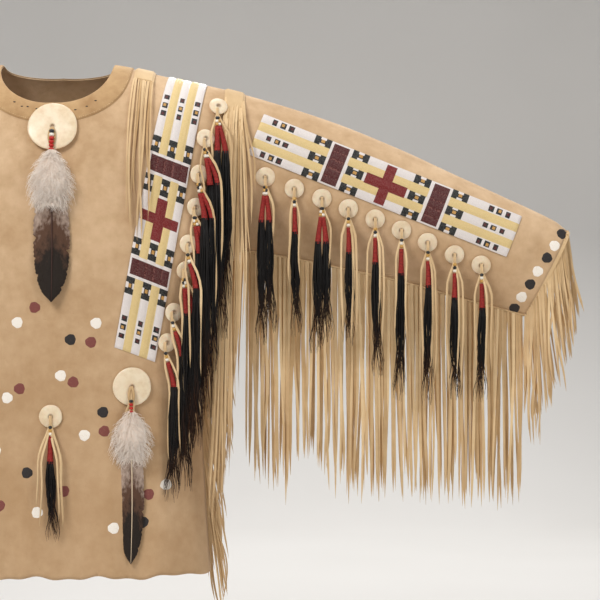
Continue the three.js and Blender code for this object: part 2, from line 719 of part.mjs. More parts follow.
// Strip of hide laid over the ridge, in grid cells of the body's own points.
function ridgeStrip({ innerX, outerX, rows: last, lift: under, thickness }) {
  const rows = Array.from({ length: 2 * last + 1 }, (_, i) => last - i);
  const grid = (lift) => rows.map((row) => [innerX, outerX].map((x) =>
    onBody(x, Math.sign(row) * turnOf(rowDown(x, Math.abs(row))), lift)));
  return wallGeometry(grid(under + thickness), grid(under));
}

// Long thongs that hang from a strip over the shoulder, on the front and on the back.
function shoulderFringe(strip, rows, { lifts, stations, backEvery }) {
  const pieces = [ridgeStrip(strip)];
  rows.forEach(({ x, down, endX, end }, i) => {
    [1, -1].forEach((facing) => {
      if (facing < 0 && i % backEvery === backEvery - 1) return;
      const folds = facing > 0 ? FRONT_FOLDS : BACK_FOLDS;
      const lift = lifts[i % lifts.length];
      const top = ridge(x) - down;
      const path = stations.map((share) => {
        const z = mix(top, -end, share);
        const at = mix(x, endX, share);
        return vector(at, -facing * (hangingReach(at, top, z, folds, THONG.halfWidth) + lift), z);
      });
      const root = onBody(x, facing * turnOf(down), strip.lift + strip.thickness / 2);
      pieces.push(thongGeometry([root, ...path]));
    });
  });
  return fused(pieces);
}

// Lock or thong of a drop: out through its disc, over the rim, then down its lane.
function dropPath({ x, z, radius, seat, root }, lane, length, standOff, shares) {
  const through = [root, seat + DISC_THICKNESS + LOOP_RISE].map((lift) => onFront(x, z, lift));
  const rim = z - radius - RIM.clearance;
  const hang = (at, level) => vector(at, -hangingReach(at, z, level) - seat - standOff, level);
  const falls = shares.map((share) => hang(lane, z - Math.max(length * share, radius + RIM.leastFall)));
  return [...through, hang(mix(x, lane, RIM.laneShare), rim), ...falls];
}

function lockGeometry(place, lane, length, standOff) {
  const path = dropPath(place, lane, length, standOff, LOCK_SHAPE.map(({ share }) => share).slice(1));
  const { root, loop } = CORD_HALF;
  const halves = [root, loop, ...LOCK_SHAPE.map(({ half }) => half)];
  return strandGeometry(path, halves.map((half) => ({ wide: half, thick: half })));
}

function dropThong(place, lane, length) {
  return thongGeometry(dropPath(place, lane, length, THONG_STAND_OFF, [0.5, 1]));
}

// Disc laid on the front at x, z, facing out.
function seatedDisc({ x, z, radius, seat }) {
  const base = onFront(x, z, seat);
  const outward = onFront(x, z, seat + 1).sub(base).normalize();
  const turned = new THREE.Quaternion().setFromUnitVectors(vector(0, 1, 0), outward);
  return discGeometry(radius).applyQuaternion(turned).translate(base.x, base.y, base.z);
}

function hairDrop(row, kind) {
  const place = { ...kind, ...row };
  const pieces = [seatedDisc(place)];
  for (let i = 0; i < row.locks; i += 1) {
    const lane = row.lane + LOCK_SPACING * (2 * i - row.locks + 1);
    pieces.push(lockGeometry(place, lane, row.lock - NEXT_LOCK_SHORTER * i, LOCK_STAND_OFF));
  }
  if (row.thong > 0) pieces.push(dropThong(place, row.lane, row.thong));
  return fused(pieces);
}

// Depth at which a feather hangs at a row of its table.
function featherY(rows, x, standOff, row) {
  return -hangingReach(x, -rows[0].below, -row.below, FRONT_FOLDS, row.halfWidth) - standOff - row.halfDepth;
}

// Cord of beads from the middle of a disc down to the top of its feather.
function featherCord(place, rows, standOff) {
  const [root, loop] = dropPath(place, place.x, 0, LOCK_STAND_OFF, []);
  const foot = vector(place.x, featherY(rows, place.x, standOff, rows[0]), -rows[0].below + 2 * SEAM_GAP);
  const bend = foot.clone().setZ(foot.z + CORD_FALL);
  bend.y = Math.min(bend.y, onFront(place.x, bend.z, place.seat + DISC_THICKNESS + LOOP_RISE).y);
  const halves = [CORD_HALF.root, CORD_HALF.loop, place.cord, CORD_HALF.foot];
  return strandGeometry([root, loop, bend, foot], halves.map((half) => ({ wide: half, thick: half })));
}

function neckDisc() {
  return fused([seatedDisc(NECK_DISC), featherCord(NECK_DISC, NECK_FEATHER, LOCK_STAND_OFF)]);
}

function chestDrop() {
  const { x, lock, thongs } = CHEST_DROP;
  return fused([
    seatedDisc(CHEST_DROP),
    lockGeometry(CHEST_DROP, x, lock, LOCK_STAND_OFF),
    dropThong(CHEST_DROP, x - THONG_SPREAD.chest, thongs[0]),
    dropThong(CHEST_DROP, x + THONG_SPREAD.chest, thongs[1]),
  ]);
}

function bellyDisc() {
  const { x, thong } = BELLY_DISC;
  return fused([
    seatedDisc(BELLY_DISC),
    featherCord(BELLY_DISC, BELLY_FEATHER, FEATHER_STAND_OFF),
    dropThong(BELLY_DISC, x - THONG_SPREAD.belly, thong),
    dropThong(BELLY_DISC, x + THONG_SPREAD.belly, thong),
  ]);
}

// Feather with its fluff, through flat rings from a table, hanging in front of the body at x.
function feather(rows, x, standOff) {
  const rings = rows.map((row, i) => {
    const z = -row.below;
    const y = featherY(rows, x, standOff, row);
    if (row.halfWidth === 0) return [vector(x, y, z)];
    return Array.from({ length: FEATHER_SIDES }, (_, k) => {
      const angle = 2 * Math.PI * (k / FEATHER_SIDES);
      return vector(x + row.halfWidth * Math.cos(angle), y + row.halfDepth * Math.sin(angle), z);
    });
  });
  const first = rings[0];
  const centre = first.reduce((sum, p) => sum.add(p), vector(0, 0, 0)).divideScalar(first.length);
  return ringsGeometry([[centre], ...rings]);
}

// Finishes
const finish = (color, roughness) => new THREE.MeshStandardMaterial({ color, roughness, metalness: 0 });
const BUCKSKIN = [0xceb084, 0.9];
const THONG_HIDE = [0xdec498, 0.88];
const BEADWORK = [0xe8ded6, 0.45];
const SHELL_DISC = [0xf5ebcd, 0.4];
const HAIR = [0x14120f, 0.6];
const FEATHER_VANE = [0x4a3226, 0.75];

const shirt = new THREE.Group();
const left = new THREE.Group();
const right = new THREE.Group();
right.scale.x = -1;
shirt.add(left, right);

function addMesh(group, name, geometry, look) {
  const mesh = new THREE.Mesh(geometry, finish(...look));
  mesh.name = name;
  group.add(mesh);
}

function addPair(name, geometry, look) {
  addMesh(left, `left_${name}`, geometry, look);
  addMesh(right, `right_${name}`, geometry, look);
}

addMesh(shirt, "front_panel", bodyPanel(1), BUCKSKIN);
addMesh(shirt, "back_panel", bodyPanel(-1), BUCKSKIN);
addMesh(shirt, "neck_band", neckBand(), BUCKSKIN);
addPair("sleeve", sleeve(), BUCKSKIN);
addPair("shoulder_strip", shoulderStrip(), BEADWORK);
addPair("sleeve_strip", sleeveStrip(), BEADWORK);
addPair("sleeve_fringe", sleeveFringe(), THONG_HIDE);
addPair("cuff_fringe", cuffFringe(), THONG_HIDE);
addPair("side_fringe", sideFringe(), THONG_HIDE);
addPair("armhole_fringe", shoulderFringe(ARMHOLE_STRIP, ARMHOLE_STRANDS, ARMHOLE_FALL), THONG_HIDE);
addPair("inner_fringe", shoulderFringe(INNER_STRIP, INNER_STRANDS, INNER_FALL), THONG_HIDE);
SLEEVE_DROPS.forEach((row, i) => addPair(`sleeve_drop_${i + 1}`, hairDrop(row, SLEEVE_DISC), HAIR));
SHOULDER_DROPS.forEach((row, i) => addPair(`shoulder_drop_${i + 1}`, hairDrop(row, SHOULDER_DISC), HAIR));
addMesh(shirt, "neck_disc", neckDisc(), SHELL_DISC);
addMesh(shirt, "neck_feather", feather(NECK_FEATHER, NECK_DISC.x, LOCK_STAND_OFF), FEATHER_VANE);
addMesh(shirt, "chest_drop", chestDrop(), SHELL_DISC);
addPair("belly_disc", bellyDisc(), SHELL_DISC);
addPair("belly_feather", feather(BELLY_FEATHER, BELLY_DISC.x, FEATHER_STAND_OFF), FEATHER_VANE);

export default shirt;
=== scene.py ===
"""Plains war shirt: buckskin, beaded strips, cut fringes and disc drops, in metres in the CAD frame."""

import logging
from dataclasses import dataclass, field
from enum import Enum

import bpy
import numpy as np
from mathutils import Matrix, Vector

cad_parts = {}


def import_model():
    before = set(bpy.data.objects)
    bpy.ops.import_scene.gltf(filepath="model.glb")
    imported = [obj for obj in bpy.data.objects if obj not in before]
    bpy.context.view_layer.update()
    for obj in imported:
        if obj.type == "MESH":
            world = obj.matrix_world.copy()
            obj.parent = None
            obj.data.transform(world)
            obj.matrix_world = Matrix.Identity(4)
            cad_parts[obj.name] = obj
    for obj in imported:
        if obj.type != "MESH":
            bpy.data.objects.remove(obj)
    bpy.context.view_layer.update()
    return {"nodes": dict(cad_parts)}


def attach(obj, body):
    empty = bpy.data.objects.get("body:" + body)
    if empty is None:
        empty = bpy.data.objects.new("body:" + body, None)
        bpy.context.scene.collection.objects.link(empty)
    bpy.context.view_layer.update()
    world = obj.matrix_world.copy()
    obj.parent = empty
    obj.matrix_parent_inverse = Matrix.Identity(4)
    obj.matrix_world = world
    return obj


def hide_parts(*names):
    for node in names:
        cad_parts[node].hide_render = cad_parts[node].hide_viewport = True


LOG = logging.getLogger("war_shirt")
MM = 0.001
UP = (0.0, 0.0, 1.0)
Array = np.ndarray
Node = bpy.types.Node
Socket = bpy.types.NodeSocket
Material = bpy.types.Material
Piece = bpy.types.Object


class Side(Enum):
    """The two faces of the shirt, with the sign of y."""

    FRONT = -1.0
    BACK = 1.0


class Hand(Enum):
    """The two halves of the shirt, with the sign of x."""

    LEFT = 1.0
    RIGHT = -1.0


def mm(*rows: tuple[float, ...]) -> Array:
    """A table typed in millimetres, as an array in metres."""
    return np.array(rows, float) * MM


def typed(*rows: tuple[float, ...]) -> Array:
    """A dataclass field whose value is such a table."""
    return field(default_factory=lambda: mm(*rows))


def smooth(value: Array, low: float, high: float) -> Array:
    """A soft step from 0 at low to 1 at high: 3t^2 - 2t^3 of the share t between them."""
    share = np.clip((value - low) / (high - low), 0.0, 1.0)
    return share * share * (3.0 - 2.0 * share)


def mix(first: Array, second: Array, share: Array) -> Array:
    """The straight blend from first to second."""
    return first + (second - first) * share


def curve(table: Array, value: Array, column: int = 1) -> Array:
    """A smooth curve through a table: cubic pieces whose slopes join the rows on either side.

    Args:
        table: rows with the key in column 0, rising.
        value: the keys to read at.
        column: the column that is read.

    Returns:
        The read values, held at the table's ends.
    """
    keys, heights = table[:, 0], table[:, column]
    slopes = np.gradient(heights, keys)
    slopes[1:-1] = (heights[2:] - heights[:-2]) / (keys[2:] - keys[:-2])
    place = np.clip(np.searchsorted(keys, value, side="right") - 1, 0, len(keys) - 2)
    span = keys[place + 1] - keys[place]
    t = np.clip((value - keys[place]) / span, 0.0, 1.0)
    start = (1.0 + 2.0 * t) * (1.0 - t) ** 2 * heights[place] + t * (1.0 - t) ** 2 * span * slopes[place]
    end = t * t * (3.0 - 2.0 * t) * heights[place + 1] + t * t * (t - 1.0) * span * slopes[place + 1]
    return start + end


def unit(vectors: Array) -> Array:
    """The vectors at length 1."""
    return vectors / np.maximum(np.linalg.norm(vectors, axis=-1, keepdims=True), 1e-9)


@dataclass(frozen=True)
class ShirtForm:
    """The worn shape of the cloth, which every other piece lies on or hangs before."""

    shoulder_round: float = 0.180
    armhole_x: float = 0.287
    underarm: float = 0.300
    hem: float = 0.800
    cuff_x: float = 0.801
    cuff_seam_x: float = 0.735
    sleeve_root: float = 0.2873
    side_square: float = 2.4
    full_power: float = 0.42
    root_depth: float = 0.058
    cuff_depth: float = 0.042
    neck_half: float = 0.088
    front_drop: float = 0.073
    back_drop: float = 0.020
    # columns: x, z
    ridge_line: Array = typed(
        (0, -2), (88, -8), (180, -27), (287, -51), (426, -94), (536, -138), (614, -174), (693, -210),
        (782, -252), (801, -267))
    # columns: x, z
    lower_line: Array = typed(
        (287, -300), (312, -301), (470, -332), (549, -350), (636, -375), (735, -401))
    # columns: below the ridge, half width
    side_line: Array = typed(
        (300, 287), (335, 254), (390, 234), (550, 226), (700, 232), (800, 240))
    # columns: below, depth
    depth_line: Array = typed(
        (0, 112), (250, 120), (450, 112), (620, 110), (800, 122))
    # columns: x, spread, rise, start below
    front_folds: Array = typed(
        (-172, 27, 8, 430), (-100, 23, -5, 500), (-44, 25, 5, 540), (34, 24, -4, 560), (92, 25, 6, 520),
        (166, 29, 9, 420))
    # columns: x, spread, rise, start below
    back_folds: Array = typed(
        (-158, 30, 9, 380), (-70, 26, 6, 420), (6, 24, -6, 460), (78, 27, 7, 400), (160, 28, 8, 400))
    # soft creases; columns: x, z, lean across (mm a metre), half width, half length, rise
    front_creases: Array = typed(
        (236, -250, -420, 9, 62, -2.4), (222, -286, -560, 8, 50, 2.0), (214, -322, -640, 10, 56, -1.8),
        (-231, -238, 380, 10, 66, -2.2), (-218, -280, 520, 8, 52, 1.9), (-205, -330, 610, 9, 60, -2.0),
        (60, -246, 90, 12, 70, -1.2), (-72, -262, -120, 13, 84, 1.3), (18, -392, 160, 11, 58, 1.4),
        (-48, -448, -200, 10, 66, -1.6), (110, -596, 80, 9, 80, -2.0), (-130, -640, -60, 10, 92, 2.2))
    back_creases: Array = typed(
        (228, -242, -400, 10, 64, -2.2), (214, -290, -520, 9, 58, 2.2), (-226, -250, 420, 9, 60, -2.4),
        (-210, -300, 560, 10, 62, 1.8), (40, -210, 60, 14, 90, 1.4), (-34, -330, -90, 12, 96, -1.6),
        (84, -470, 140, 11, 72, 1.8), (-96, -540, -110, 10, 84, -2.0))
    sleeve_creases: Array = typed(
        (322, -214, 160, 11, 58, -2.6), (352, -176, 260, 9, 44, 1.8), (398, -262, 380, 10, 48, -2.0),
        (446, -214, 300, 12, 52, 1.8), (508, -296, 420, 9, 40, -1.6), (566, -226, 360, 12, 46, -2.0),
        (612, -318, 460, 9, 38, 1.6), (668, -262, 380, 11, 44, -1.8), (716, -330, 520, 9, 40, 1.6),
        (752, -300, 440, 10, 44, -1.4))

    def ridge(self, x: Array) -> Array:
        """The height of the shoulder and sleeve's top fold at x."""
        return curve(self.ridge_line, np.abs(x))

    def lower_seam(self, x: Array) -> Array:
        """The height of the sleeve's lower seam at x."""
        return curve(self.lower_line, np.abs(x))

    def half_width(self, z: Array) -> Array:
        """Half the body's width at height z."""
        return np.where(z >= -self.underarm, self.armhole_x, curve(self.side_line, -z))

    def lens(self, share: Array) -> Array:
        """The depth of a folded hide from fold to seam: s^0.5 (1 - s)^0.9, scaled to 1 at its peak."""
        s = np.clip(share, 0.0, 1.0)
        peak = 0.5 / 1.4
        return np.sqrt(s) * (1.0 - s) ** 0.9 / (peak**0.5 * (1.0 - peak) ** 0.9)

    def down_of(self, turn: Array) -> Array:
        """The fall below the ridge after a turn over the shoulder's round."""
        size = np.abs(turn)
        flat = 1.0 + size - np.pi / 2
        return self.shoulder_round * np.where(size < np.pi / 2, 1.0 - np.cos(size), flat)

    def turn_of(self, down: Array) -> Array:
        """The turn that gives a fall, the inverse of down_of."""
        share = down / self.shoulder_round
        return np.where(share < 1.0, np.arccos(np.clip(1.0 - share, -1.0, 1.0)), share - 1.0 + np.pi / 2)

    def creases(self, table: Array, x: Array, z: Array) -> Array:
        """Troughs and ridges from a table: each a bell across its leaning line and a softer bell along it."""
        total = np.zeros(np.broadcast(x, z).shape)
        for cx, cz, lean, half, long, rise in table:
            across = (x - cx) - lean * (z - cz)
            total = total + rise * np.exp(-((across / half) ** 2) - ((z - cz) / long) ** 2)
        return total

    def body_depth(self, x: Array, down: Array, side: Side) -> Array:
        """How far the body stands from the middle plane.

        Args:
            x: place across.
            down: fall below the ridge.
            side: front or back.

        Returns:
            The depth: an armhole lens at the sides, rising to the body's depth as 1 minus the side share
            to a power, with skirt folds that grow downwards and the listed creases.
        """
        z = self.ridge(x) - down
        folds = self.front_folds if side is Side.FRONT else self.back_folds
        creases = self.front_creases if side is Side.FRONT else self.back_creases
        across = np.minimum(np.abs(x) / self.half_width(z), 1.0)
        armhole = self.root_depth * self.lens(down / (self.ridge(x) + self.underarm))
        rounding = np.sqrt(np.clip(1.0 - (1.0 - np.minimum(down / self.shoulder_round, 1.0)) ** 2, 0.0, 1.0))
        centre = curve(self.depth_line, -z) * rounding
        power = mix(1.0, self.full_power, smooth(-z, 0.200, 0.330))
        bulge = np.clip(1.0 - across**self.side_square, 0.0, 1.0) ** power
        rise = np.zeros(np.broadcast(x, down).shape)
        for fold_x, spread, height, start in folds:
            rise = rise + height * smooth(-z, start, self.hem) * np.exp(-(((x - fold_x) / spread) ** 2))
        rise = rise + self.creases(creases, x, z) * smooth(down, 0.06, 0.16)
        return armhole + (centre - armhole + rise) * bulge

    def sleeve_depth(self, along: Array, share: Array, side: Side) -> Array:
        """The sleeve's depth: the fold's lens times a depth that narrows to the cuff, and creases."""
        base = mix(self.root_depth, self.cuff_depth, along) * self.lens(share)
        x, z = self.sleeve_plane(along, share)
        ends = smooth(along, 0.0, 0.07) * smooth(1.0 - along, 0.0, 0.05)
        fade = ends * np.minimum(1.0, 4.0 * share * (1.0 - share))
        lean = 1.0 if side is Side.FRONT else -0.8
        return base + lean * fade * self.creases(self.sleeve_creases, x, z)

    def sleeve_plane(self, along: Array, share: Array) -> tuple[Array, Array]:
        """The sleeve's x and z at a share along it and a share from its fold to its lower seam."""
        top_x = mix(self.sleeve_root, self.cuff_x, along)
        foot_x = mix(self.sleeve_root, self.cuff_seam_x, along)
        return mix(top_x, foot_x, share), mix(self.ridge(top_x), self.lower_seam(foot_x), share)

    def sleeve_place(self, x: Array, z: Array) -> tuple[Array, Array]:
        """The shares along and down the sleeve at x and z, found by 14 rounds of substitution."""
        share = np.full(np.broadcast(x, z).shape, 0.4)
        for _ in range(14):
            narrow = (self.cuff_x - self.sleeve_root) - (self.cuff_x - self.cuff_seam_x) * share
            along = (x - self.sleeve_root) / narrow
            top = self.ridge(mix(self.sleeve_root, self.cuff_x, along))
            foot = self.lower_seam(mix(self.sleeve_root, self.cuff_seam_x, along))
            share = (z - top) / (foot - top)
        return along, share

    def depth(self, x: Array, z: Array, side: Side) -> Array:
        """The cloth's depth at x and z on either face, and 0 off the cloth; x may be on either half."""
        size = np.abs(x)
        body = self.body_depth(x, np.maximum(self.ridge(x) - z, 0.0), side)
        body = np.where((z < -self.hem) | (size > self.half_width(z)), 0.0, body)
        along, share = self.sleeve_place(np.maximum(size, self.sleeve_root), z)
        inside = (share > 0.0) & (share < 1.0) & (along <= 1.0)
        sleeve = np.where(inside, self.sleeve_depth(np.clip(along, 0, 1), np.clip(share, 0, 1), side), 0.0)
        return np.where(size <= self.armhole_x, body, sleeve)

    def raised(self, points: Array, normal: Array, lift: float | Array) -> Array:
        """The points moved along their normals by lift."""
        return points + normal * np.expand_dims(np.broadcast_to(lift, normal.shape[:-1]), -1)

    def body(self, x: Array, turn: Array, side: Side, lift: float | Array = 0.0) -> Array:
        """Points of the body at x and a turn over the shoulder, raised by lift along the surface's normal."""
        def point(px: Array, pt: Array) -> Array:
            down = self.down_of(pt)
            y = side.value * self.body_depth(px, down, side)
            return np.stack(np.broadcast_arrays(px, y, self.ridge(px) - down), -1)

        across = point(x + 0.001, turn) - point(x - 0.001, turn)
        along = point(x, turn + 0.01) - point(x, np.abs(turn - 0.01))
        return self.raised(point(x, turn), unit(np.cross(across, along)) * side.value, lift)

    def over(self, x: Array, turn: Array, front: Array, lift: float | Array) -> Array:
        """Points of the body on the front where front holds, and else on the back."""
        faces = [self.body(x, turn, side, lift) for side in (Side.FRONT, Side.BACK)]
        return np.where(front[..., None], *faces)

    def face(self, x: Array, z: Array, side: Side, lift: float | Array = 0.0) -> Array:
        """Points of the shirt's front or back face at x and z, raised along the normal.

        Args:
            x: places across, on the left half.
            z: heights, under the ridge.
            side: front or back.
            lift: the height above the surface.

        Returns:
            The points, one row of x, y, z each.
        """
        def point(px: Array, pz: Array) -> Array:
            return np.stack(np.broadcast_arrays(px, side.value * self.depth(px, pz, side), pz), -1)

        across = point(x + 0.0015, z) - point(x - 0.0015, z)
        up = point(x, z + 0.0015) - point(x, z - 0.0015)
        normal = unit(np.cross(across, up))
        return self.raised(point(x, z), normal * np.sign(normal[..., 1:2]) * side.value, lift)

    def hang(self, x: Array, z: Array, side: Side, stand_off: float | Array) -> Array:
        """Depths of things that hang before the cloth: the running greatest depth from their root down."""
        reached = np.maximum.accumulate(self.depth(x, z, side), axis=-1)
        return side.value * (reached + stand_off)


FORM = ShirtForm()


@dataclass(frozen=True)
class Cut:
    """A piece's flat cut before it was sewn: width and length in metres, and its area without the corners."""

    flat: tuple[float, float]
    area: float


SLEEVE_CUT = Cut((0.58, 0.56), 0.242)


def scatter(seed: int) -> np.random.Generator:
    """Repeatable random numbers for one piece."""
    return np.random.default_rng(seed)


class MeshStack:
    """Collects grids and strands for one object, each with its UV, its tone and its finish."""

    def __init__(self) -> None:
        """Starts with nothing in it."""
        self.points: list[Array] = []
        self.faces: list[Array] = []
        self.uvs: list[Array] = []
        self.tones: list[Array] = []
        self.slots: list[Array] = []
        self.count = 0

    def put(self, points: Array, quads: Array, uv: Array, tone: Array, slot: int) -> None:
        """Adds vertices (n, 3), quads (m, 4), corner UVs (m, 4, 2) and a tone for each vertex (n)."""
        self.points.append(points.reshape(-1, 3))
        self.faces.append(quads.reshape(-1, 4) + self.count)
        self.uvs.append(uv.reshape(-1, 4, 2))
        self.tones.append(np.broadcast_to(tone, (points.size // 3,)).astype(np.float32))
        self.slots.append(np.full(quads.size // 4, slot, np.int32))
        self.count += points.size // 3

    def grid(self, points: Array, uv: Array, tone: float = 0.5, wrap: bool = False) -> None:
        """Adds one sheet of rows by columns, turned so that column cross row faces out.

        Args:
            points: (rows, columns, 3).
            uv: (rows, columns, 2), with one more column where it wraps.
            tone: one value for all of it.
            wrap: the last column joins the first.
        """
        self.grids(points[None], uv[None], np.array([tone]), wrap=wrap)

    def grids(self, points: Array, uv: Array, tone: Array, slot: int = 0, wrap: bool = False) -> None:
        """Adds many equal sheets: points (n, rows, columns, 3), uv (n, rows, columns or +1, 2), tone (n)."""
        many, rows, columns, _ = points.shape
        index = np.arange(many * rows * columns).reshape(many, rows, columns)
        ring = np.concatenate([index, index[:, :, :1]], 2) if wrap else index
        quads = np.stack([ring[:, :-1, :-1], ring[:, :-1, 1:], ring[:, 1:, 1:], ring[:, 1:, :-1]], -1)
        corner = np.stack([uv[:, :-1, :-1], uv[:, :-1, 1:], uv[:, 1:, 1:], uv[:, 1:, :-1]], -2)
        self.put(points, quads, corner, np.repeat(tone, rows * columns), slot)

    def strands(self, paths: Array, half_wide: Array, half_thick: Array, sides: int = 4,
                tone: Array | None = None, slot: int = 0, across: Array | None = None,
                twist: Array | None = None) -> None:
        """Adds closed strands swept along paths; each ring is an ellipse across the path's direction.

        Args:
            paths: (n, stations, 3).
            half_wide: (n, stations) half widths, near 0 at a point.
            half_thick: (n, stations) half thicknesses.
            sides: corners of a ring.
            tone: one value for each strand.
            slot: the finish.
            across: the rough direction of the width, x where it isn't given.
            twist: (n, stations) turn of the width round the path.
        """
        many, stations, _ = paths.shape
        ahead = unit(np.gradient(paths, axis=1))
        wide = np.broadcast_to(np.array([1.0, 0.0, 0.0]) if across is None else across, paths.shape)
        wide = unit(wide - ahead * (wide * ahead).sum(-1, keepdims=True))
        deep = np.cross(ahead, wide)
        if twist is not None:
            turn = twist[..., None]
            wide, deep = wide * np.cos(turn) + deep * np.sin(turn), deep * np.cos(turn) - wide * np.sin(turn)
        angle = 2 * np.pi * (np.arange(sides) + 0.5) / sides
        ring = (wide[:, :, None] * (half_wide[..., None] * np.cos(angle))[..., None]
                + deep[:, :, None] * (half_thick[..., None] * np.sin(angle))[..., None])
        body = paths[:, :, None] + ring
        first = np.repeat(paths[:, :1, None], sides, 2)
        last = np.repeat(paths[:, -1:, None], sides, 2)
        points = np.concatenate([first, body, last], 1)
        share = np.concatenate([[0.0], np.linspace(0, 1, stations), [1.0]])
        tones = scatter(many).random(many) if tone is None else tone
        uv = np.zeros((many, stations + 2, sides + 1, 2))
        uv[..., 0] = share[:, None]
        uv[..., 1] = np.linspace(0, 1, sides + 1)
        self.grids(points, uv, tones, slot, wrap=True)

    def discs(self, profile: Array, centres: Array, normals: Array, sides: int = 28, tone: float = 0.5,
              slot: int = 0, wobble: float = 0.0) -> None:
        """Adds equal turned pieces: a profile of radius and height spun round each normal.

        Args:
            profile: (steps, 2) from the axis underneath, round the rim, to the axis on top.
            centres: (n, 3).
            normals: (n, 3) unit axes.
            sides: cells round.
            tone: the vertex tone.
            slot: the finish.
            wobble: share by which the rim's radius wanders.
        """
        many = len(centres)
        angle = 2 * np.pi * np.arange(sides) / sides
        side = unit(np.cross(np.array([0.0, 0.0, 1.0]), normals) + np.array([1e-6, 0, 0]))
        up = np.cross(normals, side)
        phase = scatter(many + sides).random((many, 1)) * 6.0
        wave = 1 + wobble * (np.sin(3 * angle + phase) + 0.6 * np.sin(5 * angle - 2 * phase))
        spin = side[:, None] * np.cos(angle)[:, None] + up[:, None] * np.sin(angle)[:, None]
        spin = spin * wave[..., None]
        points = (centres[:, None, None] + spin[:, None] * profile[None, :, None, :1]
                  + normals[:, None, None] * profile[None, :, None, 1:])
        uv = np.zeros((many, len(profile), sides + 1, 2))
        around = 2 * np.pi * np.arange(sides + 1) / sides
        uv[..., 0] = profile[None, :, None, 0] * np.cos(around)
        uv[..., 1] = profile[None, :, None, 0] * np.sin(around)
        self.grids(points, uv, np.full(many, tone) + np.linspace(0, 0.4, many), slot, wrap=True)

    def build(self, name: str, finishes: list[Material], nodes: list[str] | None = None,
              hand: Hand = Hand.LEFT, smooth_faces: bool = True) -> Piece:
        """Makes the object; on the right hand it is mirrored and its faces turned back.

        Args:
            name: the object's name.
            finishes: materials, in the order of the slots.
            nodes: the CAD nodes that it stands for.
            hand: the half it belongs to.
            smooth_faces: shaded smooth.

        Returns:
            The object at the origin, riding on the shirt.
        """
        points = np.concatenate(self.points).astype(np.float32)
        faces = np.concatenate(self.faces)
        uvs = np.concatenate(self.uvs).astype(np.float32)
        if hand is Hand.RIGHT:
            points = points * np.array([-1, 1, 1], np.float32)
            faces, uvs = faces[:, ::-1], uvs[:, ::-1]
        mesh = bpy.data.meshes.new(name)
        mesh.vertices.add(len(points))
        mesh.vertices.foreach_set("co", points.reshape(-1))
        mesh.loops.add(faces.size)
        mesh.loops.foreach_set("vertex_index", faces.reshape(-1).astype(np.int32))
        mesh.polygons.add(len(faces))
        mesh.polygons.foreach_set("loop_start", np.arange(0, faces.size, 4, dtype=np.int32))
        mesh.polygons.foreach_set("material_index", np.concatenate(self.slots))
        mesh.polygons.foreach_set("use_smooth", np.full(len(faces), smooth_faces))
        layer = mesh.uv_layers.new(name="UVMap")
        layer.uv.foreach_set("vector", uvs.reshape(-1))
        mesh.update(calc_edges=True)
        tone = mesh.attributes.new("tone", "FLOAT", "POINT")
        tone.data.foreach_set("value", np.concatenate(self.tones))
        for finish in finishes:
            mesh.materials.append(finish)
        piece = bpy.data.objects.new(name, mesh)
        bpy.context.scene.collection.objects.link(piece)
        weld = piece.modifiers.new("weld", "WELD")
        weld.merge_threshold = 1e-6
        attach(piece, "root")
        if nodes:
            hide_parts(*nodes)
        LOG.info("%s: %d faces", name, len(faces))
        return piece


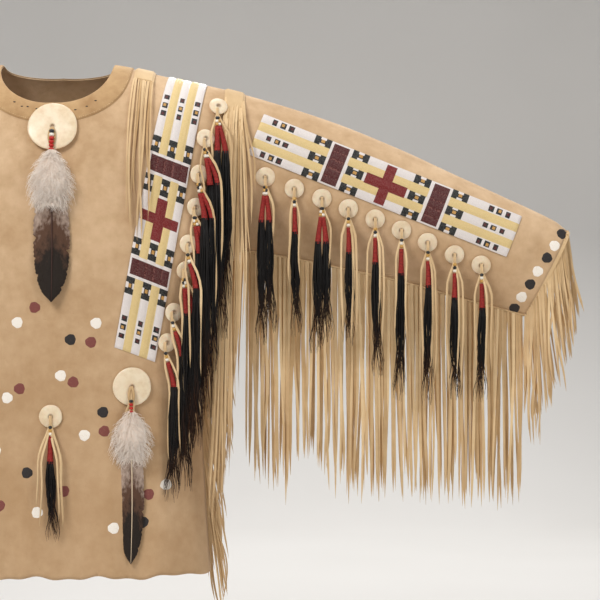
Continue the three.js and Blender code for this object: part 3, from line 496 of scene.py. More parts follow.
class Graph:
    """Adds and links the nodes of one material or one shader node group."""

    def __init__(self, tree: bpy.types.NodeTree) -> None:
        """Keeps the tree that it writes to."""
        self.tree = tree

    def add(self, kind: str, **settings: object) -> Node:
        """A new node with its properties set."""
        node = self.tree.nodes.new(kind)
        for name, value in settings.items():
            setattr(node, name, value)
        return node

    def link(self, source: object, target: Socket) -> None:
        """Feeds a socket from another one, or sets it to a value."""
        if isinstance(source, Socket):
            self.tree.links.new(source, target)
        else:
            target.default_value = source

    def math(self, operation: str, a: object, b: object = 0.0, c: object = 0.0) -> Socket:
        """A Math node's result."""
        node = self.add("ShaderNodeMath", operation=operation)
        for value, socket in zip((a, b, c), node.inputs):
            self.link(value, socket)
        return node.outputs[0]

    def times(self, a: object, b: object) -> Socket:
        """The product."""
        return self.math("MULTIPLY", a, b)

    def plus(self, a: object, b: object) -> Socket:
        """The sum."""
        return self.math("ADD", a, b)

    def minus(self, a: object, b: object) -> Socket:
        """The difference."""
        return self.math("SUBTRACT", a, b)

    def blend(self, share: object, a: object, b: object) -> Socket:
        """The blend of two colours."""
        node = self.add("ShaderNodeMix", data_type="RGBA", blend_type="MIX")
        self.link(share, node.inputs[0])
        self.link(a, node.inputs[6])
        self.link(b, node.inputs[7])
        return node.outputs[2]

    def noise(self, vector: object, scale: float, detail: float = 2.0, rough: float = 0.5) -> Socket:
        """A noise's value."""
        node = self.add("ShaderNodeTexNoise")
        self.link(vector, node.inputs["Vector"])
        node.inputs["Scale"].default_value = scale
        node.inputs["Detail"].default_value = detail
        node.inputs["Roughness"].default_value = rough
        return node.outputs["Fac"]

    def spread(self, value: object, low: float, high: float, to_low: float = 0.0,
               to_high: float = 1.0) -> Socket:
        """A value carried from one range to another, clamped."""
        node = self.add("ShaderNodeMapRange")
        for number, socket in zip((value, low, high, to_low, to_high), node.inputs):
            self.link(number, socket)
        return node.outputs[0]

    def stretch(self, vector: object, scale: tuple[float, float, float]) -> Socket:
        """A vector times a scale on each axis."""
        node = self.add("ShaderNodeVectorMath", operation="MULTIPLY")
        self.link(vector, node.inputs[0])
        node.inputs[1].default_value = scale
        return node.outputs[0]

    def split(self, vector: object) -> tuple[Socket, ...]:
        """The three parts of a vector."""
        node = self.add("ShaderNodeSeparateXYZ")
        self.link(vector, node.inputs[0])
        return tuple(node.outputs)

    def place(self, kind: str = "Object") -> Socket:
        """Texture coordinates of one kind."""
        return self.add("ShaderNodeTexCoord").outputs[kind]

    def tone(self) -> Socket:
        """The tone kept at each vertex."""
        return self.add("ShaderNodeAttribute", attribute_name="tone").outputs["Fac"]

    def bump(self, height: object, distance: float, strength: float = 1.0) -> Socket:
        """A normal from a height in its own units times a distance in metres."""
        node = self.add("ShaderNodeBump")
        node.inputs["Strength"].default_value = strength
        node.inputs["Distance"].default_value = distance
        self.link(height, node.inputs["Height"])
        return node.outputs["Normal"]

    def feed(self, node: Node, sockets: dict[str, object]) -> None:
        """Feeds a node's inputs by name, from sockets or with values."""
        for name, source in sockets.items():
            self.link(source, node.inputs[name])

    def strand(self) -> tuple[Socket, Socket]:
        """A strand's share along and its tone."""
        given = self.group("strand_share").outputs
        return given["Along"], given["Tone"]

    def group(self, name: str, **inputs: object) -> Node:
        """A shared group with its inputs fed."""
        node = self.add("ShaderNodeGroup")
        node.node_tree = bpy.data.node_groups[name]
        for key, value in inputs.items():
            self.link(value, node.inputs[key])
        return node


def rgb(red: float, green: float, blue: float) -> tuple[float, float, float, float]:
    """A screen colour of 0 to 255 as the linear colour that a shader takes."""
    share = np.array([red, green, blue]) / 255.0
    linear = np.where(share <= 0.04045, share / 12.92, ((share + 0.055) / 1.055) ** 2.4)
    return (*map(float, linear), 1.0)


def new_group(name: str, inputs: list[tuple[str, str]],
              outputs: list[tuple[str, str]]) -> tuple[Graph, object, object]:
    """An empty shader node group.

    Args:
        name: the group's name.
        inputs: names and kinds of sockets, Float, Color or Vector.
        outputs: the same for what it gives.

    Returns:
        The graph, the group's input sockets and the group's output sockets.
    """
    tree = bpy.data.node_groups.new(name, "ShaderNodeTree")
    for in_out, sockets in (("INPUT", inputs), ("OUTPUT", outputs)):
        for label, kind in sockets:
            tree.interface.new_socket(name=label, in_out=in_out, socket_type=f"NodeSocket{kind}")
    graph = Graph(tree)
    return graph, graph.add("NodeGroupInput").outputs, graph.add("NodeGroupOutput").inputs


def make_hide_group() -> None:
    """The hide's mottle and nap, shared by the panels and the thongs."""
    graph, given, out = new_group("hide_nap", [("Vector", "Vector")], [("Mottle", "Float"), ("Nap", "Float")])
    place = given["Vector"]
    broad = graph.noise(place, 7.0, 4.0, 0.62)
    fine = graph.noise(place, 46.0, 5.0, 0.6)
    total = graph.plus(graph.times(broad, 0.62), graph.times(fine, 0.38))
    graph.link(graph.spread(total, 0.38, 0.62), out["Mottle"])
    pores = graph.noise(place, 820.0, 3.0, 0.6)
    wrinkles = graph.noise(graph.stretch(place, (1.0, 1.0, 0.45)), 190.0, 4.0, 0.55)
    soft = graph.noise(graph.stretch(place, (1.0, 1.0, 0.6)), 42.0, 3.0, 0.5)
    fine_nap = graph.plus(graph.times(pores, 0.4), graph.times(wrinkles, 0.8))
    graph.link(graph.math("MULTIPLY_ADD", soft, 1.6, fine_nap), out["Nap"])


def make_strand_group() -> None:
    """A strand's share from root to tip and its own tone, shared by thongs, hair and fluff."""
    graph, _, out = new_group("strand_share", [], [("Along", "Float"), ("Tone", "Float")])
    graph.link(graph.split(graph.place("UV"))[0], out["Along"])
    graph.link(graph.tone(), out["Tone"])


@dataclass(frozen=True)
class Finish:
    """A named finish; each kind feeds the sockets of one shader."""

    name: str

    def make(self) -> Material:
        """Builds the material and returns it."""
        material = bpy.data.materials.new(self.name)
        material.use_nodes = True
        graph = Graph(material.node_tree)
        self.dress(graph, material.node_tree.nodes["Principled BSDF"])
        return material

    def dress(self, graph: Graph, shader: Node) -> None:
        """Feeds the shader; each kind of finish has its own."""
        raise NotImplementedError


@dataclass(frozen=True)
class HideFinish(Finish):
    """Napped smoke-tanned hide of a panel, darkened towards the belly and the hem by painted shade, with dark
    stain specks.
    """

    light: tuple = rgb(221, 188, 150)
    shade: tuple = rgb(192, 157, 118)
    # the darker colour of both the painted shade towards the hem and the stain specks
    stain_and_shade: tuple = rgb(171, 134, 94)
    # heights where the painted shade starts and ends, and its greatest share
    shade_top: float = -0.10
    shade_foot: float = -0.62
    shade_share: float = 0.62

    def dress(self, graph: Graph, shader: Node) -> None:
        """Colour from the mottle, painted shade by the height and stain specks; roughness and bump from the
        nap.
        """
        place = graph.place()
        nap = graph.group("hide_nap", Vector=place)
        colour = graph.blend(nap.outputs["Mottle"], self.shade, self.light)
        height = graph.split(place)[2]
        # painted shade: darker as the height falls, standing in for the light's fall-off down the shirt,
        # broken up by cloudy noise
        worn = graph.spread(height, self.shade_top, self.shade_foot, 0.0, self.shade_share)
        cloudy = graph.spread(graph.noise(place, 3.1, 5.0, 0.65), 0.3, 0.7, 0.55, 1.25)
        colour = graph.blend(graph.times(worn, cloudy), colour, self.stain_and_shade)
        speck = graph.spread(graph.noise(place, 240.0, 2.0, 0.7), 0.66, 0.78, 0.0, 0.35)
        colour = graph.blend(speck, colour, self.stain_and_shade)
        graph.feed(shader, {
            "Base Color": colour, "Roughness": graph.spread(nap.outputs["Nap"], 0.9, 1.9, 0.82, 0.97),
            "Normal": graph.bump(nap.outputs["Nap"], 0.0010, 0.7), "Specular IOR Level": 0.25,
            "Sheen Weight": 0.22, "Sheen Roughness": 0.6, "Sheen Tint": rgb(255, 236, 206)})


@dataclass(frozen=True)
class ThongFinish(Finish):
    """Cut hide thongs: each strand has its own tone and a browner tip."""

    light: tuple = rgb(238, 207, 160)
    shade: tuple = rgb(190, 154, 108)
    tip: tuple = rgb(166, 133, 94)

    def dress(self, graph: Graph, shader: Node) -> None:
        """Colour from the strand's tone and its share along, with nap bump."""
        nap = graph.group("hide_nap", Vector=graph.place())
        along, tone = graph.strand()
        tone = graph.plus(graph.times(tone, 0.7), graph.times(nap.outputs["Mottle"], 0.35))
        colour = graph.blend(graph.spread(tone, 0.05, 0.95), self.shade, self.light)
        ends = graph.spread(along, 0.45, 1.0, 0.0, 0.38)
        colour = graph.blend(ends, colour, self.tip)
        graph.feed(shader, {
            "Base Color": colour, "Roughness": graph.spread(tone, 0.0, 1.0, 0.95, 0.8),
            "Normal": graph.bump(nap.outputs["Nap"], 0.0005, 0.6), "Specular IOR Level": 0.25,
            "Sheen Weight": 0.15, "Sheen Roughness": 0.6})


class MaskGraph(Graph):
    """A graph with the masks of 0 and 1 that a bead chart is laid with."""

    def snap(self, value: object, size: float) -> Socket:
        """The value at the nearest whole step of a size."""
        steps = self.math("ROUND", self.math("DIVIDE", value, size))
        return self.times(steps, size)

    def both(self, first: object, *others: object) -> Socket:
        """1 where every mask is 1."""
        return self.times(first, self.both(*others)) if others else first

    def under(self, value: object, limit: float) -> Socket:
        """1 below a limit."""
        return self.math("LESS_THAN", value, limit)

    def over(self, value: object, limit: float) -> Socket:
        """1 above a limit."""
        return self.math("GREATER_THAN", value, limit)

    def away(self, value: object, middle: float) -> Socket:
        """The distance from a middle."""
        return self.math("ABSOLUTE", self.minus(value, middle))

    def near(self, value: object, middle: float, half: float) -> Socket:
        """1 within half a width of a middle."""
        return self.under(self.away(value, middle), half)

    def wave(self, value: object, pitch: float) -> Socket:
        """A round rise on each bead: the size of the cosine of the place, to the power 0.7."""
        turn = self.times(value, np.pi / pitch)
        return self.math("POWER", self.math("ABSOLUTE", self.math("COSINE", turn)), 0.7)


@dataclass(frozen=True)
class BeadworkFinish(Finish):
    """Seed beads in five lanes. UV x is the place along the strip in millimetres from the middle of its
    chart, UV y runs from -1 to 1 across it."""

    white: tuple = rgb(240, 230, 224)
    yellow: tuple = rgb(236, 206, 142)
    maroon: tuple = rgb(82, 10, 10)
    cross: tuple = rgb(124, 8, 10)
    black: tuple = rgb(10, 13, 14)
    gold: tuple = rgb(205, 152, 74)
    thread: tuple = rgb(150, 84, 72)
    # painted shade between the beads
    gap: tuple = rgb(60, 46, 34)
    dull: tuple = rgb(70, 60, 50)
    bright: tuple = rgb(255, 250, 240)
    pitch: float = 1.5
    half_width: float = 33.0
    lanes: float = 5.0
    tie_places: tuple = (52.0, 115.0)
    tie_neck: float = 4.4
    tie_half: float = 13.3
    square_places: tuple = (167.0, 181.0, 195.0)
    square_half: float = 4.4
    square_heart: float = 2.3
    block_place: float = 84.0
    block_half: float = 13.4
    block_border: float = 16.6
    cross_arm: float = 34.0
    cross_half: float = 7.8

    def dress(self, graph: Graph, shader: Node) -> None:
        """Lays the chart from plain lanes up to its blocks, cross and squares, bead by bead, with painted
        shade in the gaps.
        """
        graph = MaskGraph(graph.tree)
        u, v, _ = graph.split(graph.place("UV"))
        row = graph.snap(u, self.pitch)
        across = graph.snap(graph.times(v, self.half_width), self.pitch)
        cell = graph.add("ShaderNodeCombineXYZ")
        graph.link(row, cell.inputs[0])
        graph.link(across, cell.inputs[1])
        random = graph.add("ShaderNodeTexWhiteNoise", noise_dimensions="2D")
        graph.link(cell.outputs[0], random.inputs["Vector"])
        chance = random.outputs["Value"]
        colour = self.chart(graph, graph.math("ABSOLUTE", row), graph.math("ABSOLUTE", across), chance)
        colour = graph.blend(0.05, colour, graph.blend(chance, self.dull, self.bright))
        beads = graph.wave(graph.times(v, self.half_width), self.pitch)
        height = graph.times(graph.wave(u, self.pitch), graph.plus(0.6, graph.times(beads, 0.4)))
        # painted shade: darker where the bead height is low, in the gaps between beads
        colour = graph.blend(graph.spread(height, 0.0, 0.5, 0.26, 0.0), colour, self.gap)
        graph.feed(shader, {
            "Base Color": colour, "Roughness": graph.spread(chance, 0.0, 1.0, 0.35, 0.55),
            "Normal": graph.bump(height, 0.0006, 0.7), "Specular IOR Level": 0.3, "Coat Weight": 0.04})

    def chart(self, graph: MaskGraph, along: object, size: object, chance: object) -> Socket:
        """The colour of each bead.

        Args:
            graph: the material's graph.
            along: distance from the chart's middle, in millimetres.
            size: distance from the strip's middle line.
            chance: a random value for each bead.

        Returns:
            The colour.
        """
        lane = graph.math("DIVIDE", size, 2.0 * self.half_width / self.lanes)
        nearest = graph.math("FRACT", graph.plus(lane, 0.5))
        in_lane = graph.away(nearest, 0.5)
        white_lane = graph.plus(graph.under(lane, 0.5), graph.over(lane, 1.5))
        colour = graph.blend(white_lane, self.yellow, self.white)
        for place in self.tie_places:
            away = graph.away(along, place)
            ends = graph.both(graph.over(away, self.tie_neck), graph.under(away, self.tie_half), white_lane)
            neck = graph.both(graph.under(away, self.tie_neck + 0.1), graph.under(in_lane, 0.27), white_lane)
            heart = graph.both(graph.under(away, 3.1), graph.under(in_lane, 0.18), white_lane)
            colour = graph.blend(graph.math("MAXIMUM", ends, neck), colour, self.black)
            colour = graph.blend(heart, colour, self.gold)
        for place, centre in zip(self.square_places, (self.maroon, self.gold, self.maroon)):
            marks = (self.square_half, 0.34, self.black), (self.square_heart, 0.18, centre)
            for half, tall, paint in marks:
                square = graph.both(graph.near(along, place, half), graph.under(in_lane, tall), white_lane)
                colour = graph.blend(square, colour, paint)
        colour = graph.blend(graph.near(along, self.block_place, self.block_border), colour, self.white)
        block = graph.both(graph.near(along, self.block_place, self.block_half),
                           graph.under(size, 0.92 * self.half_width))
        colour = graph.blend(block, colour, self.maroon)
        arm = graph.both(graph.under(along, self.cross_arm), graph.under(size, self.cross_half))
        bar = graph.both(graph.under(along, self.cross_half), graph.under(size, 0.93 * self.half_width))
        colour = graph.blend(graph.math("MAXIMUM", arm, bar), colour, self.cross)
        edge = graph.both(block, graph.over(in_lane, 0.43), graph.over(chance, 0.5))
        return graph.blend(graph.times(edge, 0.45), colour, self.thread)


@dataclass(frozen=True)
class ShellFinish(Finish):
    """Ivory shell with fine rings, cream clouds and a darker bored middle."""

    pale: tuple = rgb(240, 221, 190)
    cloud: tuple = rgb(222, 194, 154)

    def dress(self, graph: Graph, shader: Node) -> None:
        """Rings from the UV's radius, clouds from the place."""
        radius = graph.add("ShaderNodeVectorMath", operation="LENGTH")
        graph.link(graph.place("UV"), radius.inputs[0])
        clouds = graph.noise(graph.place(), 60.0, 4.0, 0.6)
        rings = graph.math("SINE", graph.plus(graph.times(radius.outputs["Value"], 3600.0),
                                              graph.times(clouds, 9.0)))
        colour = graph.blend(graph.spread(clouds, 0.4, 0.75), self.pale, self.cloud)
        bored = graph.spread(radius.outputs["Value"], 0.0052, 0.0026, 0.0, 0.7)
        colour = graph.blend(bored, colour, rgb(120, 84, 52))
        graph.feed(shader, {
            "Base Color": colour, "Roughness": graph.spread(clouds, 0.3, 0.7, 0.32, 0.5),
            "Normal": graph.bump(graph.times(rings, 0.5), 0.00012, 0.6), "Coat Weight": 0.2,
            "Coat Roughness": 0.25, "Subsurface Weight": 0.08, "Subsurface Scale": 0.002})


@dataclass(frozen=True)
class HairFinish(Finish):
    """Black horse hair that turns brown towards its tips."""

    root: tuple = rgb(14, 13, 13)
    tip: tuple = rgb(84, 48, 24)

    def dress(self, graph: Graph, shader: Node) -> None:
        """Colour from the share along and the strand's tone."""
        along, tone = graph.strand()
        ends = graph.spread(along, 0.62, 1.0, 0.0, 0.85)
        shade = graph.times(ends, graph.spread(tone, 0.0, 1.0, 0.15, 1.0))
        base = graph.blend(tone, self.root, rgb(30, 25, 22))
        graph.feed(shader, {
            "Base Color": graph.blend(shade, base, self.tip),
            "Roughness": graph.spread(tone, 0.0, 1.0, 0.38, 0.6), "Specular IOR Level": 0.3})


@dataclass(frozen=True)
class BeadFinish(Finish):
    """Glass beads or wound thread of one colour, with small differences of tone, level ridges and a painted
    highlight on the ridges' crests.
    """

    colour: tuple = rgb(20, 20, 22)
    light: tuple = rgb(60, 60, 64)
    rough: float = 0.25
    ridges: float = 900.0
    depth: float = 0.0002
    # share of painted highlight on the ridges' crests
    ridge_highlight: float = 0.0
    coat: float = 0.25

    def dress(self, graph: Graph, shader: Node) -> None:
        """Tone by noise, a painted highlight on the ridges' crests, and a bump of the ridges."""
        place = graph.place()
        clouds = graph.noise(place, 420.0, 3.0, 0.6)
        level = graph.split(place)[2]
        ridge = graph.math("SINE", graph.times(level, self.ridges * 2 * np.pi))
        # painted highlight: the ridges' crests turn paler
        pale = graph.plus(graph.spread(clouds, 0.35, 0.8), graph.spread(ridge, 0.2, 1.0, 0.0, self.ridge_highlight))
        graph.feed(shader, {
            "Base Color": graph.blend(pale, self.colour, self.light),
            "Normal": graph.bump(graph.times(ridge, 0.5), self.depth, 0.7),
            "Roughness": graph.spread(clouds, 0.3, 0.7, self.rough, self.rough + 0.2),
            "Specular IOR Level": 0.35, "Coat Weight": self.coat, "Coat Roughness": 0.15})


@dataclass(frozen=True)
class VaneFinish(Finish):
    """A feather's vane: pale and mottled near the fluff, dark brown to black below, with slanting barbs."""

    pale: tuple = rgb(190, 168, 152)
    middle: tuple = rgb(88, 60, 44)
    dark: tuple = rgb(24, 17, 12)

    def dress(self, graph: Graph, shader: Node) -> None:
        """Colour down the vane with broken bars, and barb lines as bump."""
        along, across, _ = graph.split(graph.place("UV"))
        size = graph.math("ABSOLUTE", across)
        slant = graph.minus(along, graph.times(size, 0.12))
        blotch = graph.noise(graph.stretch(graph.place("UV"), (9.0, 2.2, 1.0)), 1.6, 4.0, 0.7)
        level = graph.plus(slant, graph.times(graph.minus(blotch, 0.5), 0.55))
        colour = graph.blend(graph.spread(level, 0.10, 0.32), self.pale, self.middle)
        colour = graph.blend(graph.spread(level, 0.40, 0.56), colour, self.dark)
        barbs = graph.math("SINE", graph.times(slant, 520.0))
        colour = graph.blend(graph.spread(barbs, -1.0, 1.0, 0.0, 0.07), colour, self.pale)
        graph.feed(shader, {
            "Base Color": colour, "Normal": graph.bump(barbs, 0.0003, 0.6),
            "Roughness": graph.spread(blotch, 0.3, 0.7, 0.6, 0.8), "Specular IOR Level": 0.2})


@dataclass(frozen=True)
class FluffFinish(Finish):
    """Downy barbs, warm white, a little darker at the root."""

    pale: tuple = rgb(255, 244, 232)
    root: tuple = rgb(250, 228, 208)

    def dress(self, graph: Graph, shader: Node) -> None:
        """Colour from the share along and the strand's tone."""
        along, tone = graph.strand()
        share = graph.plus(graph.times(along, 0.7), graph.times(tone, 0.5))
        colour = graph.blend(graph.spread(share, 0.1, 0.9), self.root, self.pale)
        graph.feed(shader, {
            "Base Color": colour, "Roughness": graph.spread(share, 0.0, 1.0, 0.7, 0.95),
            "Sheen Weight": 0.4})


@dataclass(frozen=True)
class QuillFinish(Finish):
    """A quill, pale where it leaves the down and darker towards the tip."""

    pale: tuple = rgb(240, 228, 206)
    dark: tuple = rgb(70, 42, 32)

    def dress(self, graph: Graph, shader: Node) -> None:
        """Colour and roughness from the share along."""
        share = graph.spread(graph.strand()[0], 0.06, 0.24)
        graph.feed(shader, {
            "Base Color": graph.blend(share, self.pale, self.dark),
            "Roughness": graph.spread(share, 0.0, 1.0, 0.35, 0.5)})


@dataclass(frozen=True)
class PaintFinish(Finish):
    """A daubed dot of earth paint, rubbed through in places."""

    colour: tuple = rgb(248, 240, 228)
    worn: tuple = rgb(214, 182, 138)

    def dress(self, graph: Graph, shader: Node) -> None:
        """The paint over the hide's colour, thinned by noise."""
        place = graph.place()
        rubbed = graph.spread(graph.noise(place, 520.0, 4.0, 0.7), 0.56, 0.74, 0.04, 0.6)
        graph.feed(shader, {
            "Base Color": graph.blend(rubbed, self.colour, self.worn),
            "Roughness": graph.spread(rubbed, 0.0, 0.6, 0.7, 0.92),
            "Normal": graph.bump(graph.noise(place, 700.0, 3.0), 0.0003, 0.6)})


class Paints:
    """Every finish of the shirt, made once."""

    def __init__(self) -> None:
        """Makes the shared groups, then the materials."""
        make_hide_group()
        make_strand_group()
        self.hide = HideFinish("buckskin").make()
        # the sleeve's painted shade: darker towards its lower seam
        self.sleeve_hide = HideFinish("sleeve_buckskin", shade_top=-0.2, shade_foot=-0.42,
                                      shade_share=0.25).make()
        self.band_hide = HideFinish("band_buckskin", light=rgb(204, 168, 122), shade=rgb(170, 132, 90)).make()
        self.thong = ThongFinish("thong_hide").make()
        self.beadwork = BeadworkFinish("beadwork").make()
        self.shell = ShellFinish("shell").make()
        self.hair = HairFinish("hair").make()
        self.black = BeadFinish("black_beads").make()
        # the red wrapping has a painted highlight on its thread ridges
        self.red = BeadFinish("red_wrapping", colour=rgb(112, 6, 10), light=rgb(176, 56, 46), rough=0.6,
                              ridges=430.0, depth=0.0006, ridge_highlight=0.4, coat=0.0).make()
        self.scarlet = BeadFinish("scarlet_beads", colour=rgb(176, 22, 20), light=rgb(214, 52, 36)).make()
        self.gold = BeadFinish("gold_beads", colour=rgb(190, 138, 62), light=rgb(232, 190, 112)).make()
        self.white = BeadFinish("white_beads", colour=rgb(236, 226, 208), light=rgb(252, 246, 234)).make()
        self.vane = VaneFinish("feather_vane").make()
        self.fluff = FluffFinish("feather_fluff").make()
        self.quill = QuillFinish("pale_quill", dark=rgb(214, 190, 160)).make()
        self.dark_quill = QuillFinish("dark_quill").make()
        self.white_paint = PaintFinish("white_paint").make()
        # black paint for the dots, and also the painted shade of the neck band's slits
        self.black_paint = PaintFinish("black_paint", colour=rgb(36, 32, 32), worn=rgb(96, 78, 62)).make()
        self.maroon_paint = PaintFinish("maroon_paint", colour=rgb(124, 62, 56),
                                        worn=rgb(168, 122, 94)).make()


def thicken(piece: Piece, wall: float) -> None:
    """Gives a hide its thickness, inwards from its outer face."""
    solid = piece.modifiers.new("wall", "SOLIDIFY")
    solid.thickness, solid.offset = wall, -1.0


def ball(radius: float, flat: float, points: int) -> Array:
    """A bead's half section: sine and cosine of its radius, flattened to a share of its height."""
    angle = np.linspace(0.0, np.pi, points)
    return radius * np.stack([np.sin(angle) + 1e-4, -flat * np.cos(angle)], 1)


def seam_line(points: Array, gap: float = 0.0034, long: float = 0.0022) -> Array:
    """Stitches along a line: short paths at even steps, each of the length given.

    Args:
        points: (n, 3) the line.
        gap: the step from one stitch to the next.
        long: a stitch's length.

    Returns:
        (stitches, 4, 3) paths.
    """
    length = np.concatenate([[0.0], np.cumsum(np.linalg.norm(np.diff(points, axis=0), axis=1))])
    starts = np.arange(gap / 2, length[-1] - long, gap)
    places = starts[:, None] + np.linspace(0.0, long, 4)
    return np.stack([np.interp(places, length, points[:, k]) for k in range(3)], -1)


@dataclass
class Panels:
    """Front and back panels of buckskin and the band round the neck."""

    paints: Paints
    wall: float = 0.0018
    neck_cells: int = 32
    shoulder_cells: int = 46
    chest_rows: int = 66
    skirt_rows: int = 78
    band_width: float = 0.030
    thread: float = 0.00045
    dot_radius: float = 0.0084
    slit_radius: float = 0.0021
    # painted dots of the front; columns: x, z
    white_dots: Array = typed(
        (-51, -411), (69, -412), (15, -492), (-67, -526), (51, -583), (-85, -607), (174, -660),
        (-118, -470), (122, -560), (-150, -640), (-20, -700), (96, -724), (-110, -748))
    black_dots: Array = typed(
        (30, -437), (79, -548), (-92, -500), (-36, -640), (140, -716))
    maroon_dots: Array = typed(
        (61, -441), (-24, -388), (34, -502), (-48, -512), (81, -577), (148, -674), (-136, -566), (20, -668),
        (-78, -690))
    # slits of the neck band, drawn as black marks of painted shade; columns: x, z
    slits: Array = typed(
        (-46, -81), (-37, -81.5), (-23, -85), (36, -86.5), (53, -81), (-58, -74), (66, -72))

    def neck_place(self, angle: Array, width: float | Array) -> tuple[Array, Array]:
        """The squarish neck curve: x = (half + width) sin sqrt(1 + cos^2), turn = turn of the drop by cos."""
        cosine = np.cos(angle)
        drop = np.where(cosine > 0, FORM.front_drop, FORM.back_drop) + width
        side = np.sin(angle) * np.sqrt(1.0 + cosine**2)
        return (FORM.neck_half + width) * side, FORM.turn_of(drop) * cosine

    def panel(self, side: Side) -> Piece:
        """One body panel: columns evenly spaced round the neck and over the shoulders, rows from the top edge
        to the underarm by a cosine, then to the hem as shares of the side seam's width."""
        neck = self.neck_place(np.linspace(0.0, np.pi / 2, self.neck_cells), 0.0)[0]
        shoulder = np.linspace(FORM.neck_half, FORM.armhole_x, self.shoulder_cells)[1:]
        half = np.concatenate([neck, shoulder])
        x = np.concatenate([-half[:0:-1], half])
        inside = np.abs(x) < FORM.neck_half
        cosine = np.where(inside, np.clip(1.0 - (x / FORM.neck_half) ** 2, 0.0, 1.0) ** 0.25, 0.0)
        drop = FORM.front_drop if side is Side.FRONT else FORM.back_drop
        top = FORM.down_of(FORM.turn_of(np.full_like(x, drop)) * cosine)
        share = 1.0 - np.cos(np.pi / 2 * np.linspace(0.0, 1.0, self.chest_rows))[:, None]
        chest_down = mix(top, FORM.ridge(x) + FORM.underarm, share)
        chest_x = np.broadcast_to(x, chest_down.shape)
        z = np.linspace(-FORM.underarm, -FORM.hem, self.skirt_rows)[1:, None]
        skirt_x = x / FORM.armhole_x * FORM.half_width(z)
        wide = np.concatenate([chest_x, skirt_x])
        down = np.concatenate([chest_down, FORM.ridge(skirt_x) - z])
        uneven = 0.0025 * np.sin(wide * 61.0) + 0.0015 * np.sin(wide * 137.0 + 1.0)
        down = down + uneven * smooth(down, 0.6, 0.8)
        points = FORM.body(wide, FORM.turn_of(down), side)
        uv = np.stack([wide, down], -1)
        stack = MeshStack()
        if side is Side.FRONT:
            points, uv = points[::-1], uv[::-1]
        stack.grid(points, uv)
        name = f"{side.name.lower()}_panel"
        piece = stack.build(f"{name}_hide", [self.paints.hide], [name])
        thicken(piece, self.wall)
        return piece

    def band(self) -> Piece:
        """The neck band: rings round the neck on both panels, with rolled edges, 2 mm over the hide."""
        around = np.linspace(0.0, 2 * np.pi, 181)[:-1]
        shares = np.array([-0.02, 0.0, 0.06, 0.3, 0.6, 0.9, 0.97, 1.0])
        lifts = np.array([0.4, 1.9, 2.6, 2.5, 2.6, 2.5, 1.7, 0.4]) * MM
        rows = []
        for share, lift in zip(shares, lifts):
            x, turn = self.neck_place(around, share * self.band_width)
            rows.append(FORM.over(x, np.abs(turn), turn >= 0, lift))
        points = np.stack(rows)
        uv = np.stack(np.meshgrid(np.linspace(0, 1, len(around) + 1), shares), -1)
        stack = MeshStack()
        stack.grid(points[::-1], uv[::-1], wrap=True)
        line = mix(rows[-3], rows[-2], 0.3) + np.array([0.0, 0.0, 0.0003])
        paths = seam_line(np.concatenate([line, line[:1]]))
        size = np.full(paths.shape[:2], self.thread)
        stack.strands(paths, size, size, sides=4, slot=1)
        finishes = [self.paints.band_hide, self.paints.thong]
        return stack.build("neck_band_hide", finishes, ["neck_band"])

    def marks(self) -> None:
        """Painted dots laid on the front, and black painted shade in the band's short slits."""
        tables = ((self.white_dots, self.paints.white_paint, "white"),
                  (self.black_dots, self.paints.black_paint, "black"),
                  (self.maroon_dots, self.paints.maroon_paint, "maroon"))
        for table, paint, word in tables:
            dots_on_face(f"body_dots_{word}", table, self.dot_radius, paint)
        # the slits' dark openings are painted shade: flat black marks laid over the band
        dots_on_face("neck_band_slits", self.slits, self.slit_radius, self.paints.black_paint, 0.0031, 0.45)

    def make(self) -> list[Piece]:
        """Builds the panels, the band and the marks."""
        built = [self.panel(Side.FRONT), self.panel(Side.BACK), self.band()]
        self.marks()
        return built


def dots_on_face(name: str, table: Array, radius: float, paint: Material,
                 lift: float = 0.0004, flat: float = 1.0, hand: Hand = Hand.LEFT) -> None:
    """Round marks that follow the front, paint daubs and the painted shade of the band's slits: rings of
    points about each centre, with a wandering edge.

    Args:
        name: the object's name.
        table: (n, 2) of x and z.
        radius: the daub's radius.
        paint: its finish; for the slits, black painted shade.
        lift: height over the cloth.
        flat: height of the daub as a share of its width.
        hand: the half it belongs to.
    """
    angle = np.linspace(0, 2 * np.pi, 33)
    phase = scatter(len(table)).random((len(table), 1)) * 6.0
    edge = 1 + 0.05 * np.sin(3 * angle + phase) + 0.03 * np.sin(7 * angle - phase)
    rings = np.array([1e-4, 0.5, 0.9, 1.0])[None, :, None] * edge[:, None, :-1]
    x = table[:, 0, None, None] + radius * rings * np.cos(angle[:-1])
    z = table[:, 1, None, None] + flat * radius * rings * np.sin(angle[:-1])
    height = np.array([lift, lift, lift * 0.9, lift * 0.2])[None, :, None] * np.ones_like(x)
    points = FORM.face(x, z, Side.FRONT, height)
    uv = np.zeros((len(table), 4, 33, 2))
    stack = MeshStack()
    stack.grids(points[:, ::-1], uv, np.full(len(table), 0.5), wrap=True)
    stack.build(name, [paint], hand=hand)


